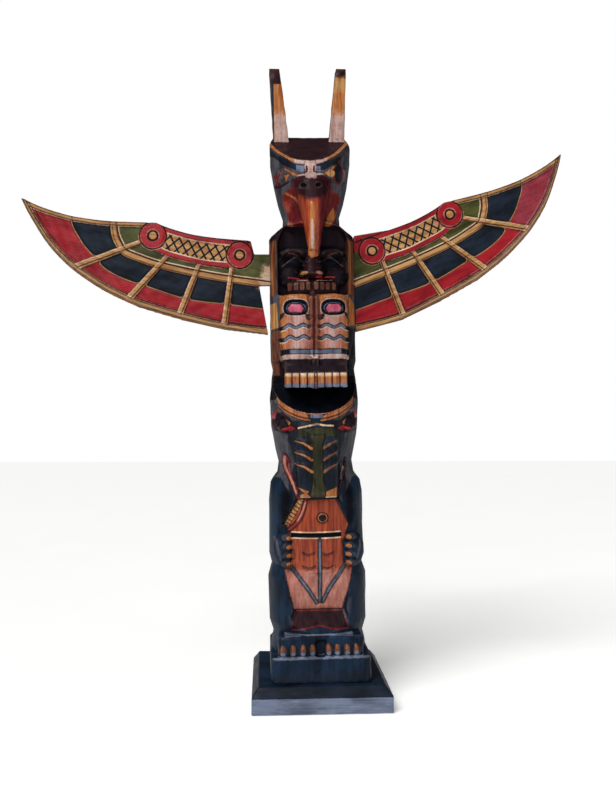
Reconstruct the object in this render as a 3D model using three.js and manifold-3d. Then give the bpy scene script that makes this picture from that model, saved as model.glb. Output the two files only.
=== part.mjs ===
// Carved and painted wooden totem pole, about half a metre tall, on a square plinth board.
// Frame: origin under the middle of the plinth, X to the right, Y to the back, Z up, millimetres.
// The pole is one carved log: a horned bird over a second face, the bird's legs, a bear that holds a fish.
// The wings are two boards whose tabs are let into slots in the sides of the log.
import * as THREE from "three";
import { mergeVertices } from "three/addons/utils/BufferGeometryUtils.js";
import Module from "manifold-3d";

const wasm = await Module();
wasm.setup();

// ---- Driving dimensions -------------------------------------------------------------------------
const TOTAL_HEIGHT = 502;
const LOG_HALF = 38; // half the width of the log at its foot
const LOG_FRONT = 39; // from the middle of the log to its front
const LEAN = THREE.MathUtils.degToRad(0.97); // the log leans a little to the left
const GAP = 0.3; // between pieces that touch
const FAR = 60; // how far a cutting tool reaches past the middle of the log
const PLINTH = { side: 104, face: 12, bevelIn: 5.2, bevelUp: 7 };
const WING = { thick: 8, relief: 1.2, bevel: 3, border: 3.6 };
const TAB = { top: 347.3, low: 322.5, deep: 6, fit: 0.4, wall: LOG_HALF - 4 };

// Heights of the main cuts above the floor, along the log.
const LEVEL = {
  plinthTop: PLINTH.face + PLINTH.bevelUp,
  stepTop: 38,
  footTop: 53,
  rampTop: 71,
  kneeTop: 101,
  elbow: 103,
  fingers: 116,
  gill: 128,
  chin: 156,
  shoulder: 167,
  cheek: 182,
  browLow: 211,
  rimFront: 219,
  rimSide: 247,
  toeLow: 239,
  toeTop: 250,
  instep: 261,
  legTop: 310.5,
  bird: 359,
  neck: 369,
  beakTip: 338,
  beakBase: 401,
  crownFront: 412.5,
  crownSide: 438,
  crownBack: 449,
};

// ---- Solids -------------------------------------------------------------------------------------
const solid = (geometry) => {
  const bare = new THREE.BufferGeometry();
  bare.setAttribute("position", geometry.getAttribute("position"));
  bare.setIndex(geometry.getIndex());
  const merged = mergeVertices(bare, 1e-4);
  return new wasm.Manifold(
    new wasm.Mesh({
      numProp: 3,
      vertProperties: new Float32Array(merged.getAttribute("position").array),
      triVerts: new Uint32Array(merged.getIndex().array),
    }),
  );
};

const join = (first, ...others) => others.reduce((sum, other) => sum.add(other), first);
const cut = (body, ...tools) => tools.reduce((left, tool) => left.subtract(tool), body);
const bothSides = (make) => join(make(1), make(-1));
const repeat = (count, make) => join(...Array.from({ length: count }, (_, number) => make(number)));

const toGeometry = (body) => {
  const mesh = body.getMesh();
  const geometry = new THREE.BufferGeometry();
  geometry.setAttribute("position", new THREE.BufferAttribute(mesh.vertProperties, 3));
  geometry.setIndex(new THREE.BufferAttribute(mesh.triVerts, 1));
  return geometry;
};

const box = (x0, x1, y0, y1, z0, z1) => {
  const geometry = new THREE.BoxGeometry(x1 - x0, y1 - y0, z1 - z0);
  return solid(geometry.translate((x0 + x1) / 2, (y0 + y1) / 2, (z0 + z1) / 2));
};

// An egg shape with its middle at x, y, z and the given radii, with eight flats around.
const ball = (x, y, z, rx, ry, rz) =>
  solid(new THREE.SphereGeometry(1, 8, 6).scale(rx, ry, rz).translate(x, y, z));

const extrude = (points, depth) => {
  const shape = new THREE.Shape(points.map(([a, b]) => new THREE.Vector2(a, b)));
  return new THREE.ExtrudeGeometry(shape, { depth, bevelEnabled: false });
};

// Prism whose outline is drawn in the front view, as [x, z] points, from y0 back to y1.
const frontPrism = (points, y0, y1) =>
  solid(extrude(points, y1 - y0).rotateX(Math.PI / 2).translate(0, y1, 0));

// Prism whose outline is drawn in the side view, as [y, z] points, from x0 to x1.
const sidePrism = (points, x0, x1) => {
  const turned = new THREE.Matrix4().makeBasis(
    new THREE.Vector3(0, 1, 0),
    new THREE.Vector3(0, 0, 1),
    new THREE.Vector3(1, 0, 0),
  );
  return solid(extrude(points, x1 - x0).applyMatrix4(turned).translate(x0, 0, 0));
};

const mirrored = (points) => [...points, ...points.map(([x, z]) => [-x, z]).reverse()];

// One ring of a loft about the log's middle: half width, and how far it reaches to the front and back.
const ring = (z, half, front, back = front, y = 0) => ({ z, half, front, back, y });

// A ring that hangs in front of the log, between the depths front and back.
const hung = (z, half, front, back) => {
  const deep = (front - back) / 2;
  return ring(z, half, deep, deep, -(front + back) / 2);
};

// Closed form through the rings; power 2 gives ellipses and a higher power squarer sections.
const loft = (rings, { power = 2, around = 36, x = 0 } = {}) => {
  const positions = [];
  const index = [];
  const bulge = (value) => Math.sign(value) * Math.abs(value) ** (2 / power);
  for (const { z, half, front, back, y } of rings) {
    for (let i = 0; i < around; i++) {
      const angle = (2 * Math.PI * (i + 0.5)) / around;
      const deep = Math.sin(angle) < 0 ? front : back;
      positions.push(x + half * bulge(Math.cos(angle)), y + deep * bulge(Math.sin(angle)), z);
    }
  }
  for (let row = 0; row < rings.length - 1; row++) {
    for (let i = 0; i < around; i++) {
      const a = row * around + i;
      const b = row * around + ((i + 1) % around);
      index.push(a, b, b + around, a, b + around, a + around);
    }
  }
  const last = rings.length - 1;
  const lowMiddle = positions.length / 3;
  positions.push(x, rings[0].y, rings[0].z, x, rings[last].y, rings[last].z);
  for (let i = 0; i < around; i++) {
    const next = (i + 1) % around;
    index.push(lowMiddle, next, i);
    index.push(lowMiddle + 1, last * around + i, last * around + next);
  }
  const geometry = new THREE.BufferGeometry();
  geometry.setAttribute("position", new THREE.Float32BufferAttribute(positions, 3));
  geometry.setIndex(index);
  return solid(geometry);
};

// ---- The log ------------------------------------------------------------------------------------
// Widths are given as the amount cut away from the log's half width and front.
const logBody = () => {
  const cutBack = (z, off, frontOff, back) => ring(z, LOG_HALF - off, LOG_FRONT - frontOff, back);
  return loft([
    cutBack(LEVEL.stepTop - 3, 1, 1, 37),
    cutBack(LEVEL.stepTop + 3, 1, 1, 37),
    cutBack(LEVEL.footTop - 3, 3, 2, 36),
    cutBack(LEVEL.footTop + 7, -0.3, 0, 37.5),
    cutBack(LEVEL.kneeTop - 7, -0.5, 0, 38),
    cutBack(LEVEL.elbow, 2.4, 2, 37),
    cutBack(LEVEL.elbow + 6, 0.9, 1, 37.5),
    cutBack(LEVEL.chin, 1, 2, 37.5),
    cutBack(LEVEL.shoulder, 2.6, 4.5, 36.5),
    cutBack(LEVEL.shoulder + 7, 7.5, 10, 35),
    cutBack(LEVEL.cheek, 9, 12, 34.5),
    cutBack(LEVEL.cheek + 14, 6, 10, 35),
    cutBack(LEVEL.browLow - 3, 3.9, 6.5, 35.5),
    cutBack(LEVEL.browLow, 3.6, 3.5, 35.5),
    cutBack(LEVEL.rimFront + 12, 2.8, 3, 35.5),
    cutBack(LEVEL.rimSide, 4.4, 4, 35),
    cutBack(LEVEL.rimSide + 8, 5.4, 4.5, 34.5),
    cutBack(LEVEL.instep, 4, 4.5, 34.5),
    cutBack(LEVEL.legTop, 4, 4.5, 34.5),
    cutBack(LEVEL.bird, 4, 5, 34),
    cutBack(LEVEL.bird + 3, 7.5, 7, 33.5),
    cutBack(LEVEL.neck, 15.2, 11, 33),
    cutBack(LEVEL.neck + 6, 15.6, 11, 33),
    cutBack(LEVEL.neck + 17, 12, 9, 33),
    cutBack(LEVEL.beakBase - 1, 8.8, 7, 33),
    cutBack(LEVEL.crownFront + 5, 6.2, 6.2, 33),
    cutBack(LEVEL.crownSide, 5.3, 6, 32.5),
    cutBack(LEVEL.crownBack, 5.6, 6, 32),
  ]);
};

const stepBlock = () => {
  const edge = 1.5;
  const [half, front, back] = [LOG_HALF, LOG_FRONT + 3, LOG_HALF];
  return loft(
    [
      ring(LEVEL.plinthTop - 3, half, front, back),
      ring(LEVEL.stepTop - edge, half, front, back),
      ring(LEVEL.stepTop, half - edge, front - edge, back - edge),
    ],
    { power: 14, around: 32 },
  );
};

// ---- The horned bird ----------------------------------------------------------------------------
const CROWN = { front: -33, back: 18 };
const HORN = { front: 6.5, back: 16, root: LEVEL.crownSide - 6, round: 33 };
const HOLLOW = { half: 27.5, neckHalf: 22, floor: LEVEL.legTop + 1, arch: 354, top: 366, back: -12 };

const crownCut = () => {
  const slope = (LEVEL.crownBack - LEVEL.crownFront) / (CROWN.back - CROWN.front);
  const atFar = LEVEL.crownBack - slope * (CROWN.back + FAR);
  const plane = [
    [-FAR, atFar],
    [CROWN.back, LEVEL.crownBack],
  ];
  return sidePrism([...plane, [CROWN.back, TOTAL_HEIGHT], [-FAR, TOTAL_HEIGHT]], -FAR, FAR);
};

const horn = (side) => {
  const outline = [
    [15.2, HORN.root],
    [28.6, HORN.root],
    [31.6, TOTAL_HEIGHT - 1.2],
    [30.6, TOTAL_HEIGHT],
    [23.8, TOTAL_HEIGHT],
    [22.8, TOTAL_HEIGHT - 1.2],
  ];
  const slat = frontPrism(outline.map(([x, z]) => [side * x, z]), HORN.front, HORN.back);
  const { root, round } = HORN;
  const barkSide = loft([ring(root - 1, round, round), ring(TOTAL_HEIGHT + 1, round + 2, round)]);
  return slat.intersect(barkSide);
};

// The hooked beak hangs clear in front of the second face.
const beak = () =>
  loft(
    [
      hung(LEVEL.beakTip, 2.6, 37, 33),
      hung(LEVEL.beakTip + 2, 3.9, 38.6, 31.5),
      hung(LEVEL.beakTip + 10, 5.2, 41, 28),
      hung(LEVEL.beakTip + 22, 7, 43, 23),
      hung(LEVEL.beakTip + 36, 9.4, 43.6, 16),
      hung(LEVEL.beakTip + 50, 12.2, 42, 14),
      hung(LEVEL.beakBase - 4, 13.8, 39.5, 12),
      hung(LEVEL.beakBase, 13, 37, 12),
      hung(LEVEL.beakBase + 3, 10, 33.5, 12),
    ],
    { power: 2.4, around: 20 },
  );

const birdEye = (side) => ball(side * 23.5, -19.5, LEVEL.beakBase + 4.3, 5.2, 4.5, 6);

const hollow = () => {
  const { half, neckHalf, floor, arch, top, back } = HOLLOW;
  const outline = mirrored([
    [half, floor],
    [half, arch],
    [neckHalf, top],
  ]);
  return frontPrism(outline, -FAR, back);
};

// The room of the hollow, a little enlarged, that the second face fills.
const behindFace = () => box(-29, 29, -30, 0, HOLLOW.floor - 2, HOLLOW.arch - 2);

// The second face, in the hollow behind the beak.
const secondFace = () => {
  const back = HOLLOW.back;
  const brow = (side) => ball(side * 13.5, back, 345.5, 13.5, 8, 4.2);
  const eye = (side) => ball(side * 13.7, back, 337.5, 8, 6.5, 4.2);
  const cheek = (side) => ball(side * 18, back, 326, 9.5, 7, 8);
  const nose = loft(
    [hung(325.5, 6, 21, 10), hung(328, 8.6, 24, 10), hung(332, 7.4, 23, 10), hung(348, 3.8, 19, 10)],
    { around: 14, power: 2.4 },
  );
  const jawRings = [
    hung(HOLLOW.floor - 2, 19, 19, 4),
    hung(314, 20, 20.5, 4),
    hung(322, 20.5, 20, 4),
    hung(324, 19, 17.5, 4),
  ];
  const jaw = loft(jawRings, { around: 20, power: 3 });
  const lipLine = frontPrism(mirrored([[19, 321.2], [19, 322.6]]), -FAR, -18.5);
  return cut(join(bothSides(brow), bothSides(eye), bothSides(cheek), nose, jaw), lipLine);
};

// ---- The bird's legs ----------------------------------------------------------------------------
const LEG = { x: 13.4, y: 21, radius: 12.6, gapHalf: 0.8, footHalf: 23.7, front: 40.5 };

const legBed = () => box(-27, 27, -FAR, -(LEG.y - 2), LEVEL.instep - 3, HOLLOW.floor + 0.5);

const leg = (side) => {
  const { y, radius } = LEG;
  const round = (z, share) => ring(z, radius * share, radius * share, radius, -y);
  return loft(
    [
      round(LEVEL.instep - 6, 0.93),
      round(LEVEL.instep + 3, 0.97),
      round(LEVEL.legTop - 5, 1),
      round(LEVEL.legTop - 1.5, 0.95),
      round(LEVEL.legTop, 0.82),
    ],
    { power: 2.3, around: 22, x: side * LEG.x },
  );
};

const foot = (side) => {
  const outline = [
    [-LEG.front + 1.5, LEVEL.toeLow],
    [-LEG.front + 1, LEVEL.toeTop],
    [-31, LEVEL.instep],
    [-4, LEVEL.instep + 3],
    [-4, LEVEL.rimSide - 3],
    [-12, LEVEL.toeLow + 1],
  ];
  const ends = [side * LEG.gapHalf, side * LEG.footHalf];
  return sidePrism(outline, Math.min(...ends), Math.max(...ends));
};

const toe = (side, number) => {
  const pitch = (LEG.footHalf - LEG.gapHalf) / 4;
  const round = (z, radius) => ring(z, radius, radius, radius, -LEG.front + 2.6);
  return loft(
    [
      round(LEVEL.toeLow - 0.4, 2),
      round(LEVEL.toeLow + 1.2, 2.75),
      round(LEVEL.toeTop - 2, 2.75),
      round(LEVEL.toeTop + 0.4, 1.7),
    ],
    { power: 2.6, around: 8, x: side * (LEG.gapHalf + pitch * (number + 0.5)) },
  );
};

// Beside the feet the block narrows like the hem of a trouser leg.
const hemCut = (side) => {
  const outline = [
    [24.6, LEVEL.rimSide - 3],
    [24.6, LEVEL.instep - 9],
    [33.6, 286],
    [FAR, 286],
    [FAR, LEVEL.rimSide - 3],
  ];
  return frontPrism(outline.map(([x, z]) => [side * x, z]), -FAR, -7);
};

// ---- The bear -----------------------------------------------------------------------------------
const SNOUT_RIBS = { high: 195, drop: 8.8, count: 3, inner: 4.6, outer: 15.8, slope: 6.2, thick: 3.2 };

const foreheadCut = () => {
  const wall = -5;
  const slope = (LEVEL.rimSide - LEVEL.rimFront) / (LOG_FRONT - 4);
  const outline = [
    [-FAR, LEVEL.rimSide - slope * FAR],
    [wall, LEVEL.rimSide + slope * wall],
    [wall, LEVEL.instep],
    [-FAR, LEVEL.instep],
  ];
  return sidePrism(outline, -FAR, FAR);
};

const snout = (proud = 0) =>
  loft(
    [
      hung(LEVEL.chin, 14.4 + proud, 41.5 + proud, 16),
      hung(LEVEL.chin + 3, 15 + proud, 42 + proud, 16),
      hung(LEVEL.chin + 23, 15.6 + proud, 40.5 + proud, 14),
      hung(LEVEL.chin + 44, 16.6 + proud, 37.6 + proud, 12),
      hung(LEVEL.browLow, 17 + proud, 35.4 + proud, 12),
      hung(LEVEL.browLow + 2, 16 + proud, 33.4 + proud, 12),
    ],
    { power: 3.4, around: 24 },
  );

const snoutStem = () => {
  const outline = mirrored([
    [6.6, LEVEL.chin + 1],
    [3.6, LEVEL.chin + 13],
    [3.4, LEVEL.browLow - 14],
    [6, LEVEL.browLow - 1],
  ]);
  return frontPrism(outline, -FAR, -28).intersect(snout(1));
};

const snoutRib = (side, number) => {
  const { high, drop, inner, outer, slope, thick } = SNOUT_RIBS;
  const z = high - number * drop;
  const outline = [
    [inner, z - slope / 2],
    [outer, z + slope / 2],
    [outer, z + slope / 2 + thick],
    [inner, z - slope / 2 + thick],
  ];
  return frontPrism(outline.map(([x, height]) => [side * x, height]), -FAR, -28).intersect(snout(0.8));
};

const bearEye = (side) => ball(side * 24, -24, LEVEL.browLow - 1.5, 6.5, 4.6, 4.6);

const hand = (side) => ball(side * 27.5, -24.5, LEVEL.fingers, 7.5, 9, 13);

const finger = (side, number) => ball(side * 24.2, -32.6, LEVEL.fingers + 10 - 6.6 * number, 4.8, 2.8, 2.9);

const bearFoot = (side) =>
  loft(
    [
      hung(LEVEL.stepTop - 2, 14.2, 39.4, 8),
      hung(LEVEL.footTop - 3, 14.2, 39.4, 8),
      hung(LEVEL.footTop - 0.8, 13.6, 38.8, 8),
      hung(LEVEL.footTop, 12.6, 37.6, 8),
    ],
    { power: 7, around: 24, x: side * 18 },
  );

const BEAR_TOES = [6.2, 13, 20.3, 27.2];

const bearToe = (side, number) => ball(side * BEAR_TOES[number], -38.4, LEVEL.stepTop + 4.4, 2.9, 3.2, 4.9);

// ---- The fish -----------------------------------------------------------------------------------
const fishOutline = (grow = 0) => [
  [-14 - grow, LEVEL.chin + 2],
  [-24 - grow, LEVEL.gill + 6.5],
  [-20.4 - grow, LEVEL.gill],
  [-20.4 - grow, LEVEL.elbow + 3],
  [-25.8 - grow, LEVEL.kneeTop - 1],
  [25.8 + grow, LEVEL.kneeTop - 1],
  [20.4 + grow, LEVEL.elbow + 3],
  [20.4 + grow, LEVEL.gill],
  [22.4 + grow, LEVEL.gill + 9],
  [13 + grow, LEVEL.chin + 2],
];

const fish = () => frontPrism(fishOutline(), -FAR, -26).intersect(logBody());
const fishBed = () => frontPrism(fishOutline(2.2), -FAR, -31.5);

// Below its waist the fish leans back between the knees, and its tail fin spreads over a ramp.
const tailBed = () => {
  const depth = sidePrism(
    [
      [-FAR, LEVEL.kneeTop],
      [-LOG_FRONT + 2.5, LEVEL.kneeTop],
      [-27, LEVEL.rampTop],
      [-LOG_FRONT + 1.5, LEVEL.footTop + 1],
      [-FAR, LEVEL.footTop + 1],
    ],
    -FAR,
    FAR,
  );
  const width = frontPrism(
    mirrored([
      [26.4, LEVEL.footTop],
      [20, LEVEL.rampTop],
      [26.2, LEVEL.kneeTop + 2],
    ]),
    -FAR,
    0,
  );
  return depth.intersect(width);
};

// ---- The wings ----------------------------------------------------------------------------------
// A wing is drawn from its inner disc: u runs to the outer disc and v across the board.
const HUBS = {
  left: { side: -1, x: 57.3, z: 346.5, raise: THREE.MathUtils.degToRad(13.1) },
  right: { side: 1, x: 48.7, z: 349.3, raise: THREE.MathUtils.degToRad(24.7) },
};
const DISC = { radius: 10.6, apart: 70.2 };
const SPARS = [
  [[79, -7], [126.5, -39.5]],
  [[55, -12], [78.5, -54.5]],
  [[29.5, -13], [36.5, -58]],
  [[4, -10], [0, -58.5]],
];

const smooth = (points, steps) =>
  new THREE.SplineCurve(points.map(([a, b]) => new THREE.Vector2(a, b)))
    .getPoints(steps)
    .map(({ x, y }) => [x, y]);

const armTop = () => smooth([[20, 9.6], [40, 8], [58, 8.9], [70.2, 10.8]], 10);
const featherTop = () => smooth([[77, 9.4], [105, 4], [125, 1.8], [140, 1.3], [160, 3], [179, 7]], 16);
const featherLow = () =>
  smooth([[179, 7], [173, -1], [162, -13], [149, -25.5], [132, -37], [115, -45], [95, -52], [70, -57.5]], 16);
const featherRoot = () => smooth([[70, -57.5], [35, -60], [0, -60.5]], 6);

// From a place beside the log, x out from its middle and z up, to the wing's own u and v.
const toWing = ({ x, z, raise }, [outward, height]) => {
  const [dx, dz] = [outward - x, height - z];
  return [dx * Math.cos(raise) + dz * Math.sin(raise), dz * Math.cos(raise) - dx * Math.sin(raise)];
};

// The board's edge at the log, from its foot to its top, with the tab that stands in the slot.
const rootPoints = (hub) => {
  const wall = TAB.wall + GAP;
  const inside = TAB.wall - TAB.deep;
  const tab = [
    [inside, TAB.low],
    [inside, TAB.top],
  ];
  const left = [[35.6, 283], [42.3, TAB.low], ...tab, [45.8, TAB.top], [48.4, 358]];
  const right = [[wall, 284.5], [wall, TAB.low], ...tab, [wall, TAB.top], [wall, 361.8]];
  return (hub.side < 0 ? left : right).map((place) => toWing(hub, place));
};

// Flat plate between a front and a back outline with the same number of points.
const plate = (frontOutline, backOutline, front, back) => {
  const corners = backOutline.map(([u, v]) => new THREE.Vector2(u, v));
  const clockwise = THREE.ShapeUtils.isClockWise(corners);
  const turned = (points) => (clockwise ? [...points].reverse() : points);
  const [near, far] = [turned(frontOutline), turned(backOutline)];
  const count = near.length;
  const positions = [near.map(([u, v]) => [u, front, v]), far.map(([u, v]) => [u, back, v])].flat(2);
  const index = [];
  for (const [a, b, c] of THREE.ShapeUtils.triangulateShape(clockwise ? corners.reverse() : corners, [])) {
    index.push(a, b, c, a + count, c + count, b + count);
  }
  for (let i = 0; i < count; i++) {
    const next = (i + 1) % count;
    index.push(i, i + count, next + count, i, next + count, next);
  }
  const geometry = new THREE.BufferGeometry();
  geometry.setAttribute("position", new THREE.Float32BufferAttribute(positions, 3));
  geometry.setIndex(index);
  return solid(geometry);
};

// Outline of a straight bar between two points, narrow at its first end and wide at its second.
const bar = ([[u0, v0], [u1, v1]], narrow, wide) => {
  const length = Math.hypot(u1 - u0, v1 - v0);
  const [nu, nv] = [-(v1 - v0) / length / 2, (u1 - u0) / length / 2];
  return [
    [u0 - nu * narrow, v0 - nv * narrow],
    [u1 - nu * wide, v1 - nv * wide],
    [u1 + nu * wide, v1 + nv * wide],
    [u0 + nu * narrow, v0 + nv * narrow],
  ];
};

const disc = (u) =>
  Array.from({ length: 28 }, (_, i) => {
    const angle = (2 * Math.PI * i) / 28;
    return [u + DISC.radius * Math.cos(angle), DISC.radius * Math.sin(angle)];
  });

const arm = () => [
  ...smooth([[-2, -10], [5, -11.6], [28, -14], [54, -13.2], [68, -11]], 12),
  ...smooth([[70, 10.4], [58, 8.7], [40, 7.8], [20, 9.4], [-4, 13]], 12),
];

// The strip between a curve and the same curve moved sideways, to the left of its run if width is positive.
const ribbon = (curve, width) => {
  const moved = curve.map(([u, v], i) => {
    const before = curve[Math.max(i - 1, 0)];
    const after = curve[Math.min(i + 1, curve.length - 1)];
    const length = Math.hypot(after[0] - before[0], after[1] - before[1]);
    return [u - ((after[1] - before[1]) / length) * width, v + ((after[0] - before[0]) / length) * width];
  });
  return [...curve, ...moved.reverse()];
};

const wingBoard = (hub) => {
  const [front, back] = [-WING.thick / 2, WING.thick / 2];
  const low = [...featherLow(), ...featherRoot().slice(1)];
  const bevelled = low.map(([u, v], i) => (i === 0 ? [u, v] : [u - WING.bevel * 0.3, v + WING.bevel]));
  const upper = [...armTop(), ...featherTop().slice(0, -1)];
  const flat = (frontOutline, backOutline, y0, y1) => {
    const turned = (points) => points.map(([u, v]) => [hub.side * u, v]);
    return plate(turned(frontOutline), turned(backOutline), y0, y1);
  };
  const raised = (points) => flat(points, points, front, 0);
  const root = rootPoints(hub);
  const [frontEdge, backEdge] = [bevelled, low].map((lower) => [...upper, ...lower, ...root]);
  const board = flat(frontEdge, backEdge, front + WING.relief, back);
  const spars = SPARS.map((ends) => raised(bar(ends, 3.4, 4.6)));
  const upperBorder = ribbon(featherTop().slice(0, -1), -WING.border);
  const lowerBorder = ribbon(bevelled.slice(1), -WING.border);
  const borders = [raised(upperBorder), raised(lowerBorder)];
  const hinge = [raised(arm()), raised(disc(0)), raised(disc(DISC.apart))];
  return join(board, ...borders, ...spars, ...hinge);
};

// ---- Assembly -----------------------------------------------------------------------------------
const leaning = new THREE.Group();
leaning.rotation.y = -LEAN;
leaning.position.z = LEVEL.plinthTop;
const alongLog = new THREE.Group();
alongLog.position.z = -LEVEL.plinthTop;
leaning.add(alongLog);
leaning.updateMatrixWorld(true);

// What lies below the plinth's top, as seen from the leaning log, so that the log is sawn flush with it.
const belowPlinth = () => {
  const slab = new THREE.BoxGeometry(4 * FAR, 4 * FAR, FAR);
  slab.translate(0, 0, LEVEL.plinthTop + GAP - FAR / 2);
  return solid(slab.applyMatrix4(alongLog.matrixWorld.clone().invert()));
};

// The slot in the log's side that holds a wing's tab.
const slot = (side) => {
  const { fit } = TAB;
  const ends = [side * (TAB.wall - TAB.deep - fit), side * FAR];
  const half = WING.thick / 2 + fit;
  return box(Math.min(...ends), Math.max(...ends), -half, half, TAB.low - fit, TAB.top + fit);
};

const pole = () => {
  const carved = cut(
    logBody(),
    crownCut(),
    hollow(),
    legBed(),
    foreheadCut(),
    hemCut(1),
    hemCut(-1),
    fishBed(),
    tailBed(),
    box(-4, 4, -FAR, -LOG_FRONT + 4.5, LEVEL.stepTop - 1, LEVEL.footTop - 3),
  );
  const row = (count, make) => bothSides((side) => repeat(count, (number) => make(side, number)));
  const bird = [beak(), bothSides(horn), bothSides(birdEye), secondFace().intersect(behindFace())];
  const legs = [bothSides(leg), bothSides(foot), row(4, toe)];
  const bearHead = [snout(), snoutStem(), bothSides(bearEye), row(SNOUT_RIBS.count, snoutRib)];
  const bearBody = [bothSides(hand), row(4, finger), bothSides(bearFoot), row(4, bearToe)];
  const whole = join(carved, stepBlock(), ...bird, ...legs, ...bearHead, fish(), ...bearBody);
  return cut(whole, belowPlinth(), slot(1), slot(-1));
};

const plinth = () => {
  const { side, face, bevelIn, bevelUp } = PLINTH;
  const square = (z, half) => [
    [-half, -half, z],
    [half, -half, z],
    [half, half, z],
    [-half, half, z],
  ];
  const half = side / 2;
  const corners = [square(0, half), square(face, half), square(face + bevelUp, half - bevelIn)].flat(2);
  const index = [0, 2, 1, 0, 3, 2, 8, 9, 10, 8, 10, 11];
  for (let row = 0; row < 2; row++) {
    for (let i = 0; i < 4; i++) {
      const a = row * 4 + i;
      const b = row * 4 + ((i + 1) % 4);
      index.push(a, b, b + 4, a, b + 4, a + 4);
    }
  }
  const geometry = new THREE.BufferGeometry();
  geometry.setAttribute("position", new THREE.Float32BufferAttribute(corners, 3));
  geometry.setIndex(index);
  return geometry;
};

const named = (name, geometry, color, roughness) => {
  const material = new THREE.MeshStandardMaterial({ color, roughness, metalness: 0 });
  const mesh = new THREE.Mesh(geometry, material);
  mesh.name = name;
  return mesh;
};

const totem = new THREE.Group();
totem.add(named("plinth", plinth(), 0x2a3440, 0.45));
totem.add(leaning);
alongLog.add(named("pole", toGeometry(pole()), 0x5a2f1c, 0.35));
for (const [name, hub] of Object.entries(HUBS)) {
  const wing = named(`wing_${name}`, toGeometry(wingBoard(hub)), 0x9c1f28, 0.4);
  wing.position.set(hub.side * hub.x, 0, hub.z);
  wing.rotation.y = -hub.side * hub.raise;
  alongLog.add(wing);
}

export default totem;
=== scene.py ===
"""Looks of a carved and painted wooden totem pole, built around its packed construction.

The log, its two wing boards and the plinth are each carved from the construction's own solid: the solid is
copied, fine parts are added to it, the whole is made one skin, and tool cuts and paint are laid on from
drawings in the piece's own upright front view, in millimetres.
"""

from __future__ import annotations

import logging
import math
from dataclasses import dataclass, field, replace
from enum import Enum
from functools import partial
from typing import Callable, Iterable, Sequence

import bpy
import numpy as np
from mathutils import Matrix, Vector
from mathutils.kdtree import KDTree


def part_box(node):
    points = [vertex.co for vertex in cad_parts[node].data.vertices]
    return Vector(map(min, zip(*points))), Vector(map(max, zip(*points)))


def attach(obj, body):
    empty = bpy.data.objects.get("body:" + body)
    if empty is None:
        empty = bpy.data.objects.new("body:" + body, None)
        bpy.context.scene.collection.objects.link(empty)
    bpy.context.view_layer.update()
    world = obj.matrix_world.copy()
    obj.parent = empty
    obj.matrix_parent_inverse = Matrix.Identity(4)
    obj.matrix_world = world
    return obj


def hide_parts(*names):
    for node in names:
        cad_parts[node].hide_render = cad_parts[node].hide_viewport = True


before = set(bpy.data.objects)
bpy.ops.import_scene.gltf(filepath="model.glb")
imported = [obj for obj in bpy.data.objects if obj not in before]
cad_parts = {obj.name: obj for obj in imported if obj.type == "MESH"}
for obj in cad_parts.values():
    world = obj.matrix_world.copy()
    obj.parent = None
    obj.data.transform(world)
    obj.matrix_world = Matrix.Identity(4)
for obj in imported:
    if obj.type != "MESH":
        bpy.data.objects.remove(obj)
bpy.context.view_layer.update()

LOG = logging.getLogger("totem")
MM = 0.001
REACH = 9.0  # how far outside a drawn shape its distance is still worked out, mm
FAR = 99.0
Point = tuple[float, float]
Points = tuple[Point, ...]
Array = np.ndarray


# ---- Paints --------------------------------------------------------------------------------------
@dataclass(frozen=True)
class Coat:
    """One paint's two tones, how much wood grain shows through it, how rough it dries and how it shines."""

    dark: str
    light: str
    grain: float
    rough: float
    gloss: float


class Paint(Enum):
    """The paints and stains on the maker's bench, and tones for painted sheen and reflection, in the order in
    which they are laid on.
    """

    SLATE = Coat("#07101b", "#172a3f", 0.25, 0.5, 0.05)
    BLACK = Coat("#020308", "#060b14", 0.1, 0.6, 0.0)
    SMOKE = Coat("#262529", "#525158", 0.3, 0.5, 0.06)
    MAROON = Coat("#15070b", "#2d121a", 0.3, 0.45, 0.06)
    CHERRY = Coat("#3c0c12", "#741e1e", 0.5, 0.4, 0.2)
    RUST = Coat("#652316", "#a1472a", 0.8, 0.36, 0.3)
    AMBER = Coat("#7a3c1a", "#ba7740", 0.75, 0.38, 0.3)
    OCHRE = Coat("#84552c", "#bd925d", 0.7, 0.45, 0.2)
    OLIVE = Coat("#2c2d14", "#4f5027", 0.35, 0.45, 0.15)
    NAVY = Coat("#0e1219", "#1d2532", 0.15, 0.45, 0.06)
    STEEL = Coat("#414858", "#707a90", 0.3, 0.42, 0.15)
    CRIMSON = Coat("#720f18", "#9e1c25", 0.25, 0.4, 0.25)
    ROSE = Coat("#96344c", "#c4667e", 0.2, 0.36, 0.3)
    CREAM = Coat("#ac886c", "#dec5a8", 0.3, 0.4, 0.2)
    BARK = Coat("#4a2c18", "#8f6440", 0.9, 0.6, 0.1)
    BRONZE = Coat("#40221a", "#784430", 0.7, 0.4, 0.2)
    # The next two pale pinks are mostly laid on as painted sheen and highlights on the varnish; a few marks
    # use them as real paint.
    SALMON = Coat("#8c4c40", "#b87f72", 0.6, 0.36, 0.3)
    BLUSH = Coat("#91706a", "#c8aca4", 0.5, 0.4, 0.25)
    # This dusky tone is a painted reflection on one wing's tip.
    MAUVE = Coat("#742531", "#8f3c48", 0.3, 0.42, 0.2)
    UMBER = Coat("#0e080e", "#231820", 0.35, 0.6, 0.0)
    MOSS = Coat("#1c1d14", "#363722", 0.4, 0.45, 0.1)


(SLATE, BLACK, SMOKE, MAROON, CHERRY, RUST, AMBER, OCHRE, OLIVE, NAVY, STEEL, CRIMSON, ROSE, CREAM,
 BARK, BRONZE, SALMON, BLUSH, MAUVE, UMBER, MOSS) = Paint


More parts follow.
